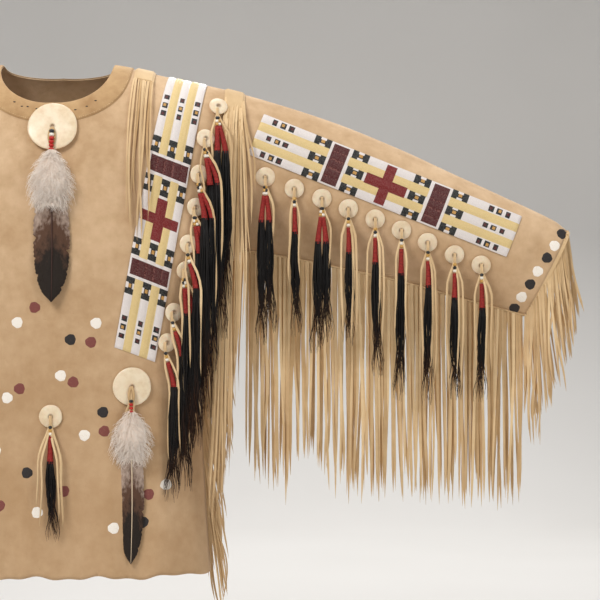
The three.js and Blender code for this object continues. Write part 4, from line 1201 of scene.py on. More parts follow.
@dataclass
class Sleeves:
    """The two sleeves: one hide folded along its top, closed by the lower seam, open at the cuff."""

    paints: Paints
    cut: Cut = SLEEVE_CUT
    wall: float = 0.0018
    along_cells: int = 120
    round_cells: int = 88
    dot_radius: float = 0.0081
    dot_shift: tuple = (-0.004, -0.002)
    # painted dots beside the cuff, from the top down; columns: x, z
    white_dots: Array = typed((781, -290), (755, -330), (732, -370))
    black_dots: Array = typed((794, -271), (769, -309), (744, -350), (722, -388))

    def make(self, hand: Hand) -> Piece:
        """One sleeve: rings of the folded lens, share 1 - cos of the turn from the top fold to the seam."""
        along = np.linspace(0.0, 1.0, self.along_cells)[:, None]
        around = (np.arange(self.round_cells) / self.round_cells * 2.0 - 1.0)[None, :]
        share = 1.0 - np.cos(np.abs(around) * np.pi / 2)
        x, z = FORM.sleeve_plane(along, share)
        front = FORM.sleeve_depth(along, share, Side.FRONT)
        back = FORM.sleeve_depth(along, share, Side.BACK)
        y = np.where(around >= 0, -front, back)
        points = np.stack([x, y * np.ones_like(x), z], -1)
        rows, columns = self.along_cells, self.round_cells
        uv = np.stack(np.meshgrid(np.linspace(0, 1, columns + 1), np.linspace(0, 1, rows)), -1)
        stack = MeshStack()
        stack.grid(points, uv, wrap=True)
        word = hand.name.lower()
        finishes = [self.paints.sleeve_hide]
        piece = stack.build(f"{word}_sleeve_hide", finishes, [f"{word}_sleeve"], hand)
        thicken(piece, self.wall)
        for table, paint, colour in ((self.white_dots, self.paints.white_paint, "white"),
                                     (self.black_dots, self.paints.black_paint, "black")):
            table = table + np.array(self.dot_shift)
            dots_on_face(f"{word}_cuff_dots_{colour}", table, self.dot_radius, paint, hand=hand)
        return piece


@dataclass
class Strips:
    """The beaded strips of the shoulders and the sleeves, in five raised lanes."""

    paints: Paints
    thickness: float = 0.0026
    arch: float = 0.0012
    lanes: int = 5
    shoulder_x: float = 0.204
    lean: float = 0.174
    shoulder_half: float = 0.030
    shoulder_down: float = 0.445
    chart_from_end: float = 0.2165
    sleeve_half: float = 0.033
    # ends of the sleeve strip's middle line; columns: x, z
    sleeve_ends: Array = typed((311, -119), (714, -278))

    def profile(self) -> tuple[Array, Array]:
        """Shares across a strip from -1 to 1 and heights: bare edges, then an arch over each lane."""
        inner = np.linspace(-1.0, 1.0, self.lanes * 6 + 1)
        place = (inner + 1.0) / 2.0 * self.lanes
        height = self.thickness - self.arch * (1.0 - np.sqrt(np.abs(np.sin(np.pi * place))))
        shares = np.concatenate([[-1.02, -1.015], inner, [1.015, 1.02]])
        heights = np.concatenate([[0.0002, self.thickness * 0.5], height, [self.thickness * 0.5, 0.0002]])
        return shares, heights

    def shoulder(self, hand: Hand) -> Piece:
        """A strip over the shoulder: its middle line leans inwards on both faces, its ends are cut square."""
        shares, heights = self.profile()
        slope = np.sqrt(1.0 + self.lean**2)
        run = np.linspace(-1.0, 1.0, 281)[:, None] * self.shoulder_down
        size = np.abs(run)
        across = shares[None, :] * self.shoulder_half
        square = smooth(size, 0.0, 0.18)
        x = self.shoulder_x - self.lean * size + across / slope
        down = np.maximum(size + across * self.lean / slope * square, 0.0) + np.zeros_like(across)
        fade = np.minimum(1.0, (self.shoulder_down - size) / 0.0015)
        lift = 0.0008 + heights[None, :] * np.clip(fade, 0.05, 1.0)
        points = FORM.over(x, FORM.turn_of(down), run < 0, lift)
        chart = (size * slope - (self.shoulder_down * slope - self.chart_from_end)) / MM
        uv = np.stack(np.broadcast_arrays(chart, shares[None, :]), -1)
        flat = (2 * self.shoulder_half, 2 * self.shoulder_down * slope)
        return self.finish(points, uv, hand, "shoulder_strip", flat, ["front_panel_hide", "back_panel_hide"])

    def sleeve(self, hand: Hand) -> Piece:
        """A strip along the sleeve's front, from the armhole to the cuff."""
        shares, heights = self.profile()
        start, end = self.sleeve_ends
        reach = np.linalg.norm(end - start)
        ahead = (end - start) / reach
        run = np.linspace(-0.5, 0.5, 161)[:, None] * reach
        across = shares[None, :] * self.sleeve_half
        middle = (start + end) / 2
        x = middle[0] + ahead[0] * run - ahead[1] * across
        z = middle[1] + ahead[1] * run + ahead[0] * across
        fade = np.clip((reach / 2 - np.abs(run)) / 0.0015, 0.05, 1.0)
        points = FORM.face(x, z, Side.FRONT, 0.0010 + heights[None, :] * fade)
        uv = np.stack(np.broadcast_arrays(run / MM, -shares[None, :]), -1)
        flat = (2 * self.sleeve_half, reach)
        return self.finish(points[:, ::-1], uv[:, ::-1], hand, "sleeve_strip", flat,
                           [f"{hand.name.lower()}_sleeve_hide"])

    def finish(self, points: Array, uv: Array, hand: Hand, word: str, flat: tuple[float, float],
               under: list[str]) -> Piece:
        """Builds one strip of beadwork in place of its CAD node."""
        stack = MeshStack()
        stack.grid(points, uv)
        name = f"{hand.name.lower()}_{word}"
        piece = stack.build(f"{name}_beads", [self.paints.beadwork], [name], hand)
        return piece


def cut_shape(many: int, stations: int, half: Array, seed: int,
              taper: float = 0.3) -> tuple[Array, Array, Array]:
    """Half widths, half thicknesses and twists of cut thongs: narrowing a little, then to a point.

    Args:
        many: strands.
        stations: rings along each.
        half: (many) half widths at the root.
        seed: for the twist.
        taper: the share of the width lost before the point.

    Returns:
        Three arrays (many, stations).
    """
    random = scatter(seed)
    share = np.linspace(0.0, 1.0, stations)[None, :]
    wide = half[:, None] * (1.0 - taper * share) * (1.0 - 0.96 * smooth(share, 0.88, 1.0))
    ripple = 1.0 + 0.09 * np.sin(share * random.uniform(9, 21, (many, 1)) + random.uniform(0, 6, (many, 1)))
    thick = np.full((many, stations), 0.00062) * (1.0 - 0.6 * smooth(share, 0.9, 1.0))
    turns = random.normal(0.0, 0.34, (many, 1)) * np.sin(share * random.uniform(2, 6, (many, 1))) * share**0.5
    return wide * ripple, thick, turns


@dataclass
class Fringes:
    """Cut hide fringes: sleeves, cuffs, side seams, armholes and the inner edges of the shoulder strips."""

    paints: Paints
    stations: int = 16
    sleeve_strands: int = 152
    cuff_strands: int = 34
    side_strands: int = 58
    armhole_strands: int = 36
    inner_strands: int = 9
    # where the sleeve fringe ends; columns: x, z
    sleeve_ends: Array = typed(
        (296, -628), (318, -652), (355, -668), (394, -615), (418, -640), (440, -660), (499, -684),
        (540, -676), (600, -690), (660, -682), (732, -692))
    # the cuff fringe's ends by the share down the cuff; columns: share (thousandths), x, z
    cuff_ends: Array = typed(
        (0, 818, -400), (120, 814, -430), (300, 803, -462), (600, 776, -530), (850, 752, -588),
        (1000, 732, -548))
    # the armhole fringe's ends by the share along its root; columns: share (thousandths), x, z
    armhole_ends: Array = typed(
        (0, 238, -706), (300, 250, -690), (550, 262, -650), (720, 274, -560), (840, 288, -420),
        (930, 302, -316), (1000, 318, -186))

    def hung(self, hand: Hand, word: str, paths: Array, half: Array, seed: int,
             backing: MeshStack) -> Piece:
        """Builds one fringe from its strands' paths and a backing that holds their roots."""
        wide, thick, twist = cut_shape(len(paths), paths.shape[1], half, seed)
        backing.strands(paths, wide, thick, sides=4, tone=scatter(seed).random(len(paths)), twist=twist)
        name = f"{hand.name.lower()}_{word}"
        return backing.build(f"{name}_thongs", [self.paints.thong], [name], hand, smooth_faces=False)

    def fall(self, root: Array, foot: Array, seed: int, sway: float) -> Array:
        """Paths from roots to feet: straight, with a sway sin(rate s + phase) - sin(phase) times s^0.8.

        Args:
            root: (n, 3).
            foot: (n, 3).
            seed: for the sway.
            sway: its greatest size.

        Returns:
            (n, stations, 3) paths.
        """
        random = scatter(seed)
        share = np.linspace(0.0, 1.0, self.stations)[None, :, None]
        path = mix(root[:, None], foot[:, None], share)
        rate = random.uniform(2.0, 6.5, (len(root), 1, 1))
        phase = random.uniform(0, 6, (len(root), 1, 1))
        wave = np.sin(share * rate + phase) - np.sin(phase)
        lean = [random.normal(0, sway, (len(root), 1, 1)) for _ in range(2)]
        lean = np.concatenate([*lean, np.zeros((len(root), 1, 1))], 2)
        return path + wave * lean * share**0.8

    def welt(self, line: Array, wide: float, high: float, across: Array | None = None) -> MeshStack:
        """Starts a stack with a round welt along a line: half widths across it and along its height."""
        stack = MeshStack()
        size = np.ones((1, len(line)))
        stack.strands(line[None], size * wide, size * high, sides=8, tone=np.array([0.45]), across=across)
        return stack

    def sleeve(self, hand: Hand) -> Piece:
        """Close layers of strands under the sleeve's lower seam, and the welt they are cut from."""
        random = scatter(11)
        many = self.sleeve_strands
        x = np.linspace(0.297, 0.729, many) + random.normal(0, 0.0009, many)
        layer = np.array([-0.0032, 0.0026, -0.0004])[np.arange(many) % 3] + random.normal(0, 0.0006, many)
        root = np.stack([x, layer * 0.5, FORM.lower_seam(x) + 0.001], 1)
        foot_z = curve(self.sleeve_ends, x) + random.normal(0, 0.012, many) - 0.004
        foot_z = foot_z + np.where(random.random(many) < 0.12, random.uniform(0.02, 0.08, many), 0.0)
        foot = np.stack([x + random.normal(0, 0.003, many), layer * 1.6, foot_z], 1)
        line = np.linspace(0.2885, 0.7345, 90)
        seam = np.stack([line, np.zeros(90), FORM.lower_seam(line) + 0.0002], 1)
        stack = self.welt(seam, 0.0022, 0.0022 * 1.2, np.array(UP))
        half = random.uniform(0.0026, 0.0043, many)
        return self.hung(hand, "sleeve_fringe", self.fall(root, foot, 12, 0.0026), half, 13, stack)

    def cuff(self, hand: Hand) -> Piece:
        """Strands round the cuff's edge, from a narrow band just beyond it, leaning outwards as they fall."""
        random = scatter(21)
        stack = MeshStack()
        paths = []
        for side, count in ((Side.FRONT, self.cuff_strands), (Side.BACK, self.cuff_strands - 4)):
            share = np.linspace(0.015, 0.985, count) + random.normal(0, 0.006, count)
            share = np.clip(share, 0.01, 0.99)
            x, z = FORM.sleeve_plane(np.ones(count), share)
            y = side.value * FORM.sleeve_depth(np.ones(count), share, side)
            root = np.stack([x + 0.0012, y * 0.96, z + 0.002], 1)
            end_x, end_z = curve(self.cuff_ends, share), curve(self.cuff_ends, share, 2)
            shorter = 0.0 if side is Side.FRONT else 0.016
            foot = np.stack([end_x + random.normal(0, 0.003, count), y * 0.7 + random.normal(0, 0.004, count),
                             end_z + shorter + random.normal(0, 0.013, count)], 1)
            paths.append(self.fall(root, foot, 22, 0.004))
        around = np.arange(72) / 72 * 2.0 - 1.0
        share = 1.0 - np.cos(np.abs(around) * np.pi / 2)
        x, z = FORM.sleeve_plane(np.ones(72), share)
        y = -np.sign(around) * FORM.sleeve_depth(np.ones(72), share, Side.FRONT)
        ring = np.stack([x, y, z], 1)
        outward = unit(np.array([0.897, 0.0, -0.442]))
        rows = np.stack([ring - outward * 0.0006, ring + outward * 0.003, ring + outward * 0.0052])
        inner = rows[::-1] * np.array([1.0, 0.93, 1.0])
        band = np.concatenate([rows, inner, rows[:1]])[:, ::-1]
        uv = np.stack(np.meshgrid(np.linspace(0, 1, 73), np.linspace(0, 0.4, len(band))), -1)
        stack.grid(band, uv, tone=0.4, wrap=True)
        paths = np.concatenate(paths)
        return self.hung(hand, "cuff_fringe", paths, random.uniform(0.0019, 0.0033, len(paths)), 23, stack)

    def side(self, hand: Hand) -> Piece:
        """Strands down the side seam, each leaning out over the one below, with the seam's welt."""
        random = scatter(31)
        many = self.side_strands
        below = np.linspace(0.344, 0.688, many)
        width = FORM.half_width(-below)
        layer = np.array([-0.0035, 0.0, 0.0035])[np.arange(many) % 3]
        root = np.stack([width + 0.001, layer * 0.3, -below], 1)
        long = 0.196 + random.normal(0, 0.012, many)
        lean = random.normal(0.145, 0.03, many)
        foot = np.stack([width + lean * long, layer * 2.2, -below - long], 1)
        line = np.linspace(0.303, 0.796, 90)
        seam = np.stack([FORM.half_width(-line) + 0.0004, np.zeros(90), -line], 1)
        stack = self.welt(seam, 0.0021, 0.0021)
        half = random.uniform(0.0017, 0.0029, many)
        return self.hung(hand, "side_fringe", self.fall(root, foot, 32, 0.004), half, 33, stack)

    def over_shoulder(self, hand: Hand, word: str, span: tuple[float, float], strands: int,
                      ends: Array, reach: float, stand_off: float, seed: int) -> Piece:
        """Long thongs from a strip of hide laid over the ridge, on both faces.

        Args:
            hand: the half.
            word: the fringe's name.
            span: the strip's inner and outer x.
            strands: thongs on the front.
            ends: columns share, x, z of the thongs' ends.
            reach: how far the strip comes down either face.
            stand_off: distance of the thongs from the cloth.
            seed: for the unevenness.

        Returns:
            The object.
        """
        random = scatter(seed)
        stack = MeshStack()
        run = np.linspace(-reach, reach, 41)[:, None]
        x = np.linspace(span[0], span[1], 9)[None, :]
        lift = np.full((41, 9), 0.0042)
        lift[:, [0, -1]] = 0.0015
        lift[[0, -1], :] = 0.0015
        turn = FORM.turn_of(np.abs(run)) * np.ones_like(x)
        wide = x * np.ones_like(run)
        strip = FORM.over(wide, turn, run < 0, lift)
        uv = np.stack(np.meshgrid(np.linspace(0, 0.4, 9), np.linspace(0, 1, 41)), -1)
        stack.grid(strip, uv, tone=0.5)
        paths = []
        for side, count in ((Side.FRONT, strands), (Side.BACK, strands - 3)):
            share = np.linspace(0.01, 0.99, count)
            root_x = mix(span[0] + 0.001, span[1] - 0.001, share)
            down = random.uniform(0.2, 0.92, count) * reach
            end_x = curve(ends, share) + random.normal(0, 0.003, count)
            end_z = curve(ends, share, 2) + random.normal(0, 0.022, count)
            top = FORM.ridge(root_x) - down
            t = np.linspace(0.0, 1.0, self.stations + 8)[None, :] ** 1.35
            z = mix(top[:, None], end_z[:, None], t)
            wave = np.sin(t * random.uniform(3, 8, (count, 1)) + random.uniform(0, 6, (count, 1)))
            path_x = mix(root_x[:, None], end_x[:, None], t**0.85) + wave * 0.0035 * t
            clear = random.uniform(0.8, 2.2, (count, 1)) * stand_off
            y = FORM.hang(path_x, z, side, mix(0.0042, clear, smooth(t, 0.0, 0.08)))
            paths.append(np.stack([path_x, y, z], -1))
        paths = np.concatenate(paths)
        return self.hung(hand, word, paths, random.uniform(0.0018, 0.0031, len(paths)), seed + 1, stack)

    def make(self, hand: Hand) -> list[Piece]:
        """All the fringes of one half."""
        inner = mm((0, 115, -262), (500, 130, -258), (1000, 146, -268))
        return [self.sleeve(hand), self.cuff(hand), self.side(hand),
                self.over_shoulder(hand, "armhole_fringe", (0.2615, 0.2935), self.armhole_strands,
                                   self.armhole_ends, 0.052, 0.0055, 41),
                self.over_shoulder(hand, "inner_fringe", (0.121, 0.153), self.inner_strands,
                                   inner, 0.020, 0.004, 51)]


@dataclass
class Drops:
    """Shell discs with their thong loops, beads, wrapped hair locks and loose thongs."""

    paints: Paints
    thickness: float = 0.0030
    hole: float = 0.0026
    lock_hairs: int = 60
    lock_stations: int = 10
    # a lock from the disc's middle down: its beads, its wound stem and where its hair starts
    first_bead: float = 0.0165
    bead_step: float = 0.0050
    stem_top: float = 0.0300
    stem_foot: float = 0.0715
    hair_top: float = 0.068
    hair_half: float = 0.00078
    sleeve_radius: float = 0.0153
    shoulder_radius: float = 0.0145
    # columns: x, z, lane, locks (thousandths), lock length, thongs (thousandths), thong length
    sleeve_table: Array = typed(
        (326, -185, 326, 2000, 262, 1000, 120), (371, -203, 372, 1000, 232, 2000, 150),
        (414, -218, 414, 2000, 242, 1000, 130), (455, -234, 456, 1000, 215, 3000, 232),
        (497, -250, 497, 1000, 250, 3000, 218), (538, -267, 537, 1000, 268, 2000, 200),
        (579, -286, 580, 1000, 256, 3000, 224), (621, -305, 621, 1000, 230, 3000, 208),
        (663, -321, 664, 1000, 216, 3000, 202))
    # the same columns
    shoulder_table: Array = typed(
        (252, -79, 259, 2000, 322, 2000, 190), (233, -129, 248, 2000, 330, 2000, 230),
        (223, -183, 240, 2000, 336, 1000, 210), (217, -234, 231, 2000, 342, 2000, 250),
        (207, -291, 221, 1000, 310, 2000, 240), (201, -329, 212, 2000, 300, 2000, 230),
        (183, -395, 200, 1000, 280, 2000, 210), (173, -442, 187, 1000, 248, 2000, 190))

    def profile(self, radius: float) -> Array:
        """A disc's half section: flat under, a rounded rim, a low dome and a bored hole."""
        r, hole, t = radius, self.hole, self.thickness
        return np.array([
            (1e-5, 0.0), (r * 0.7, 0.0), (r * 0.985, 0.0003), (r, 0.35 * t), (r * 0.985, 0.62 * t),
            (r * 0.93, 0.8 * t), (r * 0.6, 0.95 * t), (hole * 1.5, t), (hole, 0.93 * t),
            (hole * 0.8, 0.55 * t), (1e-5, 0.5 * t)])

    def discs(self, name: str, x: Array | float, z: Array | float, radius: float, seat: float,
              hand: Hand = Hand.LEFT) -> None:
        """One object of equal discs, laid on the front at x and z, raised by their seat."""
        x, z = np.atleast_1d(x), np.atleast_1d(z)
        centre = FORM.face(x, z, Side.FRONT, seat)
        outward = unit(FORM.face(x, z, Side.FRONT, seat + 0.002) - centre)
        stack = MeshStack()
        stack.discs(self.profile(radius), centre, outward, sides=36, tone=0.3, wobble=0.008)
        stack.build(name, [self.paints.shell], hand=hand)

    def lane_path(self, x: float, z: float, lane: float, low: Array, stand_off: float) -> Array:
        """Points at given drops below a disc's middle: out over the rim, then down its lane."""
        share = smooth(low, 0.004, 0.075)
        at = mix(x, lane, share)
        level = z - low
        return np.stack([at, FORM.hang(at, level, Side.FRONT, stand_off), level], -1)

    def lock(self, stack: MeshStack, x: float, z: float, lane: float, long: float, seat: float, seed: int,
             full: float = 1.0) -> None:
        """One lock: cord, a row of beads, a wound stem and hair that parts into wisps.

        Args:
            stack: collects the parts; slots are hair, thong, black, gold, white and red.
            x, z: the disc's middle.
            lane: where it hangs.
            long: its length from the disc's middle.
            seat: the disc's height over the cloth.
            seed: for the hair.
            full: the hair's fullness.
        """
        random = scatter(seed)
        off = seat + self.thickness + 0.0024
        share = np.linspace(0.0, 1.0, self.lock_stations)[None, :]
        cord = self.lane_path(x, z, lane, np.linspace(-0.001, 0.018, 8), off)[None]
        cord[0, 0, 1] += 0.003
        size = np.full((1, 8), 0.0012)
        for shift in (-0.0011, 0.0011):
            stack.strands(cord + np.array([shift, 0, 0]), size, size, sides=6, tone=np.array([0.7]), slot=1)
        colours = [(2, 4, 3), (2, 3, 4), (3, 2, 4)][seed % 3]
        for i, slot in enumerate(colours):
            low = np.array([0.0, self.first_bead + self.bead_step * i])
            place = self.lane_path(x, z, lane, low, off)[1:]
            stack.discs(ball(0.0034, 0.78, 7), place, np.array([UP]), sides=10, slot=slot)
        stem_low = np.linspace(self.stem_top, self.stem_foot, 9)
        stem = self.lane_path(x, z, lane, np.concatenate([[0.0], stem_low]), off)[None, 1:]
        thick = (0.0036 + 0.0017 * np.linspace(0, 1, 9) ** 2.2)[None]
        stack.strands(stem, thick, thick, sides=10, slot=5)
        many = self.lock_hairs
        length = long * random.uniform(0.70, 1.0, (many, 1)) ** 0.8
        low = mix(self.hair_top, length, share)
        thin = 1 - 0.75 * share**2
        start = np.zeros((many, 1))
        path = self.lane_path(x, z, lane, np.concatenate([start, low], 1), off + 0.0015)[:, 1:]
        share = (low - self.hair_top) / (long - self.hair_top)
        angle = random.uniform(0, 2 * np.pi, (many, 1))
        ring = 0.0042 + 0.0048 * full * np.sin(np.pi * np.clip(share * 1.25, 0, 1)) + 0.001 * share
        ring = ring * np.sqrt(random.uniform(0.05, 1.0, (many, 1)))
        wisp = random.integers(0, 3, (many, 1))
        part = full * np.array([-0.0065, 0.0008, 0.0072])[wisp] * smooth(share, 0.45, 1.0)
        bend = random.normal(0, 0.005) * share**1.5 + 0.0022 * share * np.sin(share * 13.0 + wisp * 2.1)
        loose = random.normal(0, 0.0022, (many, 1)) * share**2 + 0.0012 * share * np.sin(share * 31 + angle)
        path[..., 0] += ring * np.cos(angle) * (1 - 0.55 * share) + part + bend + loose
        path[..., 1] -= (ring * np.sin(angle) * 0.6 + 0.0012) * (1 - 0.4 * share)
        half = np.full(path.shape[:2], self.hair_half * full) * thin
        stack.strands(path, half, half, sides=3, tone=random.random(many))

    def thongs(self, stack: MeshStack, x: float, z: float, lane: float, long: float, many: int, seat: float,
               seed: int, clear: float = 0.0) -> None:
        """Loose thongs from the disc's hole, out over the rim and down.

        Args:
            stack: collects them, with hide as slot 1.
            x, z: the disc's middle.
            lane: where they hang.
            long: their length.
            many: their number.
            seat: the disc's height over the cloth.
            seed: for their unevenness.
            clear: how far they keep from the lock on both sides.
        """
        random = scatter(seed)
        low = np.linspace(0.0, 1.0, 15)[None, :] ** 1.25 * (long * random.uniform(0.78, 1.04, (many, 1)))
        place = np.arange(many)[:, None] - (many - 1) / 2
        offset = place * 0.0060 + np.where(place >= 0, 1.0, -1.0) * clear
        offset = offset + random.normal(0, 0.0012, (many, 1))
        path = self.lane_path(x, z, lane, low, seat + self.thickness + 0.0022)
        share = low / long
        path[..., 0] += offset * smooth(low, 0.004, 0.05) + 0.0024 * np.sin(share * 7 + offset * 900) * share
        turn = np.sin(np.arange(many)[:, None] * 2.0)
        path[..., 1] -= 0.0045 * smooth(low, 0.01, 0.05) + 0.0016 * turn * share
        path[:, 0, 1] += 0.004
        wide, thick, twist = cut_shape(many, 15, random.uniform(0.0021, 0.0030, many), seed + 5, 0.2)
        wide[:, :3] *= np.array([0.55, 0.7, 0.9])
        stack.strands(path, wide, thick, sides=4, tone=random.uniform(0.45, 1.0, many), slot=1, twist=twist)

    def row(self, hand: Hand, word: str, table: Array, radius: float, seat: float, seed: int,
            full: float) -> None:
        """A row of drops: its discs in one object, its locks with beads and thongs in another.

        Args:
            hand: the half.
            word: the row's name.
            table: a row for each drop.
            radius: the discs' radius.
            seat: their height over the cloth.
            seed: for the first drop.
            full: the hair's fullness.
        """
        name = f"{hand.name.lower()}_{word}"
        self.discs(f"{name}_discs", table[:, 0], table[:, 1], radius, seat, hand)
        stack = MeshStack()
        for i, (x, z, lane, locks, lock, thongs, thong) in enumerate(table):
            count = round(locks / MM / 1000)
            for k in range(count):
                at = lane + 0.0062 * (2 * k - count + 1)
                self.lock(stack, x, z, at, lock - 0.016 * k, seat, seed + 7 * i + k, full)
            many = round(thongs / MM / 1000)
            self.thongs(stack, x, z, lane, thong, many, seat, seed + 200 + i, 0.0052 * count)
        nodes = [f"{name}_{i + 1}" for i in range(len(table))]
        stack.build(f"{name}_locks", self.materials(), nodes, hand)

    def materials(self) -> list[Material]:
        """The finishes of a lock, by slot."""
        paints = self.paints
        return [paints.hair, paints.thong, paints.black, paints.gold, paints.white, paints.red]

    def chest(self) -> None:
        """The small disc on the middle of the chest, with one lock between two pairs of thongs."""
        x, z, seat = 0.0, -0.554, 0.0016
        self.discs("chest_drop_disc", x, z, 0.0178, seat)
        stack = MeshStack()
        self.lock(stack, x, z, x, 0.190, seat, 301)
        for side in (-1, 1):
            self.thongs(stack, x, z, x + side * 0.017, 0.165, 2, seat, 320 + side)
        stack.build("chest_drop_lock", self.materials(), ["chest_drop"])

    def make(self, hand: Hand) -> None:
        """Both rows of one half."""
        self.row(hand, "sleeve_drop", self.sleeve_table, self.sleeve_radius, 0.0014, 61, 1.0)
        self.row(hand, "shoulder_drop", self.shoulder_table, self.shoulder_radius, 0.0048, 81, 1.3)


@dataclass
class Feather:
    """A feather that hangs from its disc: down round the quill's top, then a vane with its quill."""

    paints: Paints
    name: str
    x: float
    top: float
    vane_top: float
    tip: float
    stand_off: float
    down_reach: float
    down_foot: float
    barbs: int
    quill: Material
    # half widths of the vane; columns: share down (thousandths), half width
    shape: Array = typed(
        (0, 17), (140, 25), (300, 29), (520, 29), (720, 25), (860, 17), (950, 8), (1000, 0.6))
    # how far the down reaches sideways; columns: share down (thousandths), share of the reach
    down_shape: Array = typed(
        (0, 350), (180, 800), (450, 1000), (750, 860), (1000, 520))
    # notches of the vane: place, depth and length as shares
    notches: tuple = ((0.22, 0.10, 0.012), (0.41, 0.16, 0.016), (0.58, 0.08, 0.010), (0.73, 0.14, 0.013))

    def face_y(self, z: Array) -> Array:
        """Where the feather hangs: before the greatest depth of the cloth above each height."""
        order = np.concatenate([[self.top + 0.02], z])
        return FORM.hang(np.full(order.shape, self.x), order, Side.FRONT, self.stand_off)[1:]

    def vane(self, stack: MeshStack) -> None:
        """Two webs that slope back from the quill, with notched edges and a slight curl across."""
        rows, columns = 150, 25
        t = np.linspace(0.0, 1.0, rows)
        across = np.linspace(-1.0, 1.0, columns)[None, :]
        z = mix(self.vane_top, self.tip, t)
        notch = np.zeros(rows)
        for place, depth, long in self.notches:
            notch = notch + depth * np.exp(-(((t - place) / long) ** 2))
        ragged = 0.022 * np.sin(t * 173.0) + 0.015 * np.sin(t * 389.0 + 1.0)
        left = curve(self.shape, t) * (1.0 - notch + ragged)
        right = curve(self.shape, t) * (1.0 - np.roll(notch, 17) + np.roll(ragged, 9)) * 0.88
        half = np.where(across < 0, left[:, None], right[:, None])
        lean = 0.0016 * np.sin(t * 3.0)[:, None]
        x = self.x + across * half + lean
        slope = np.abs(across) * half * 0.30 - 0.002 * np.sin(np.pi * np.abs(across))
        y = self.face_y(z)[:, None] + np.minimum(slope, self.stand_off * 0.8)
        fade_in, fade_out = smooth(t, 0.0, 0.2)[:, None], smooth(1 - t, 0.0, 0.1)[:, None]
        level = z[:, None] - np.abs(across) * half * 0.42 * fade_in * fade_out
        points = np.stack([x, y * np.ones_like(x), level], -1)
        uv = np.stack(np.broadcast_arrays(t[:, None], across), -1)
        stack.grid(points[:, ::-1], uv[:, ::-1])
        path = np.stack([self.x + lean[:, 0], self.face_y(z) - 0.0009, z], -1)[None, ::4]
        thick = np.linspace(0.0013, 0.0004, path.shape[1])[None]
        stack.strands(path, thick, thick, sides=8, slot=1)

    def down(self, stack: MeshStack) -> None:
        """Soft barbs from the quill: each runs out, then droops, with a curl that grows to its tip."""
        random = scatter(len(self.name) + self.barbs)
        many, stations = self.barbs, 6
        share = random.random((many, 1)) ** 0.8
        root_z = mix(self.top, self.down_foot, share * 0.86)
        reach = self.down_reach * curve(self.down_shape, share) * random.uniform(0.55, 1.12, (many, 1))
        angle = random.uniform(-np.pi, np.pi, (many, 1))
        s = np.linspace(0.0, 1.0, stations)[None, :]
        curl = random.normal(0, 0.5, (many, 1)) * s**2
        out = reach * np.sin(s * np.pi / 2 * 0.9)
        fall = reach * random.uniform(0.25, 0.95, (many, 1)) * s**1.6
        x = self.x + out * np.cos(angle + curl) + random.normal(0, 0.0006, (many, 1))
        depth = np.minimum(self.down_reach * 0.5, 0.016)
        face = self.face_y(np.array([self.down_foot]))[0]
        deep = out / reach * depth * np.sin(angle + curl) * np.minimum(1.0, reach / self.down_reach)
        y = np.minimum(face - 0.003 + deep, face + self.stand_off * 0.7)
        path = np.stack([x, y, root_z - fall + 0.1 * out * np.sin(curl * 2)], -1)
        half = np.full((many, stations), 0.00048) * (1 - 0.7 * s)
        stack.strands(path, half, half * 0.6, sides=3, slot=2, tone=random.random(many))
        core_z = np.linspace(self.top - 0.002, self.down_foot + 0.01, 12)
        core = np.stack([np.full(12, self.x), self.face_y(core_z) - 0.002, core_z], -1)[None]
        bulge = np.sin(np.pi * np.linspace(0.05, 0.97, 12))[None]
        wide, thick = 0.62 * self.down_reach * bulge, np.minimum(0.4 * self.down_reach, 0.009) * bulge
        stack.strands(core, wide, thick, sides=20, slot=2, tone=np.array([0.55]))

    def make(self, hand: Hand) -> None:
        """The whole feather, in place of its CAD node."""
        stack = MeshStack()
        self.vane(stack)
        self.down(stack)
        finishes = [self.paints.vane, self.quill, self.paints.fluff]
        stack.build(f"{self.name}_full", finishes, [self.name], hand)


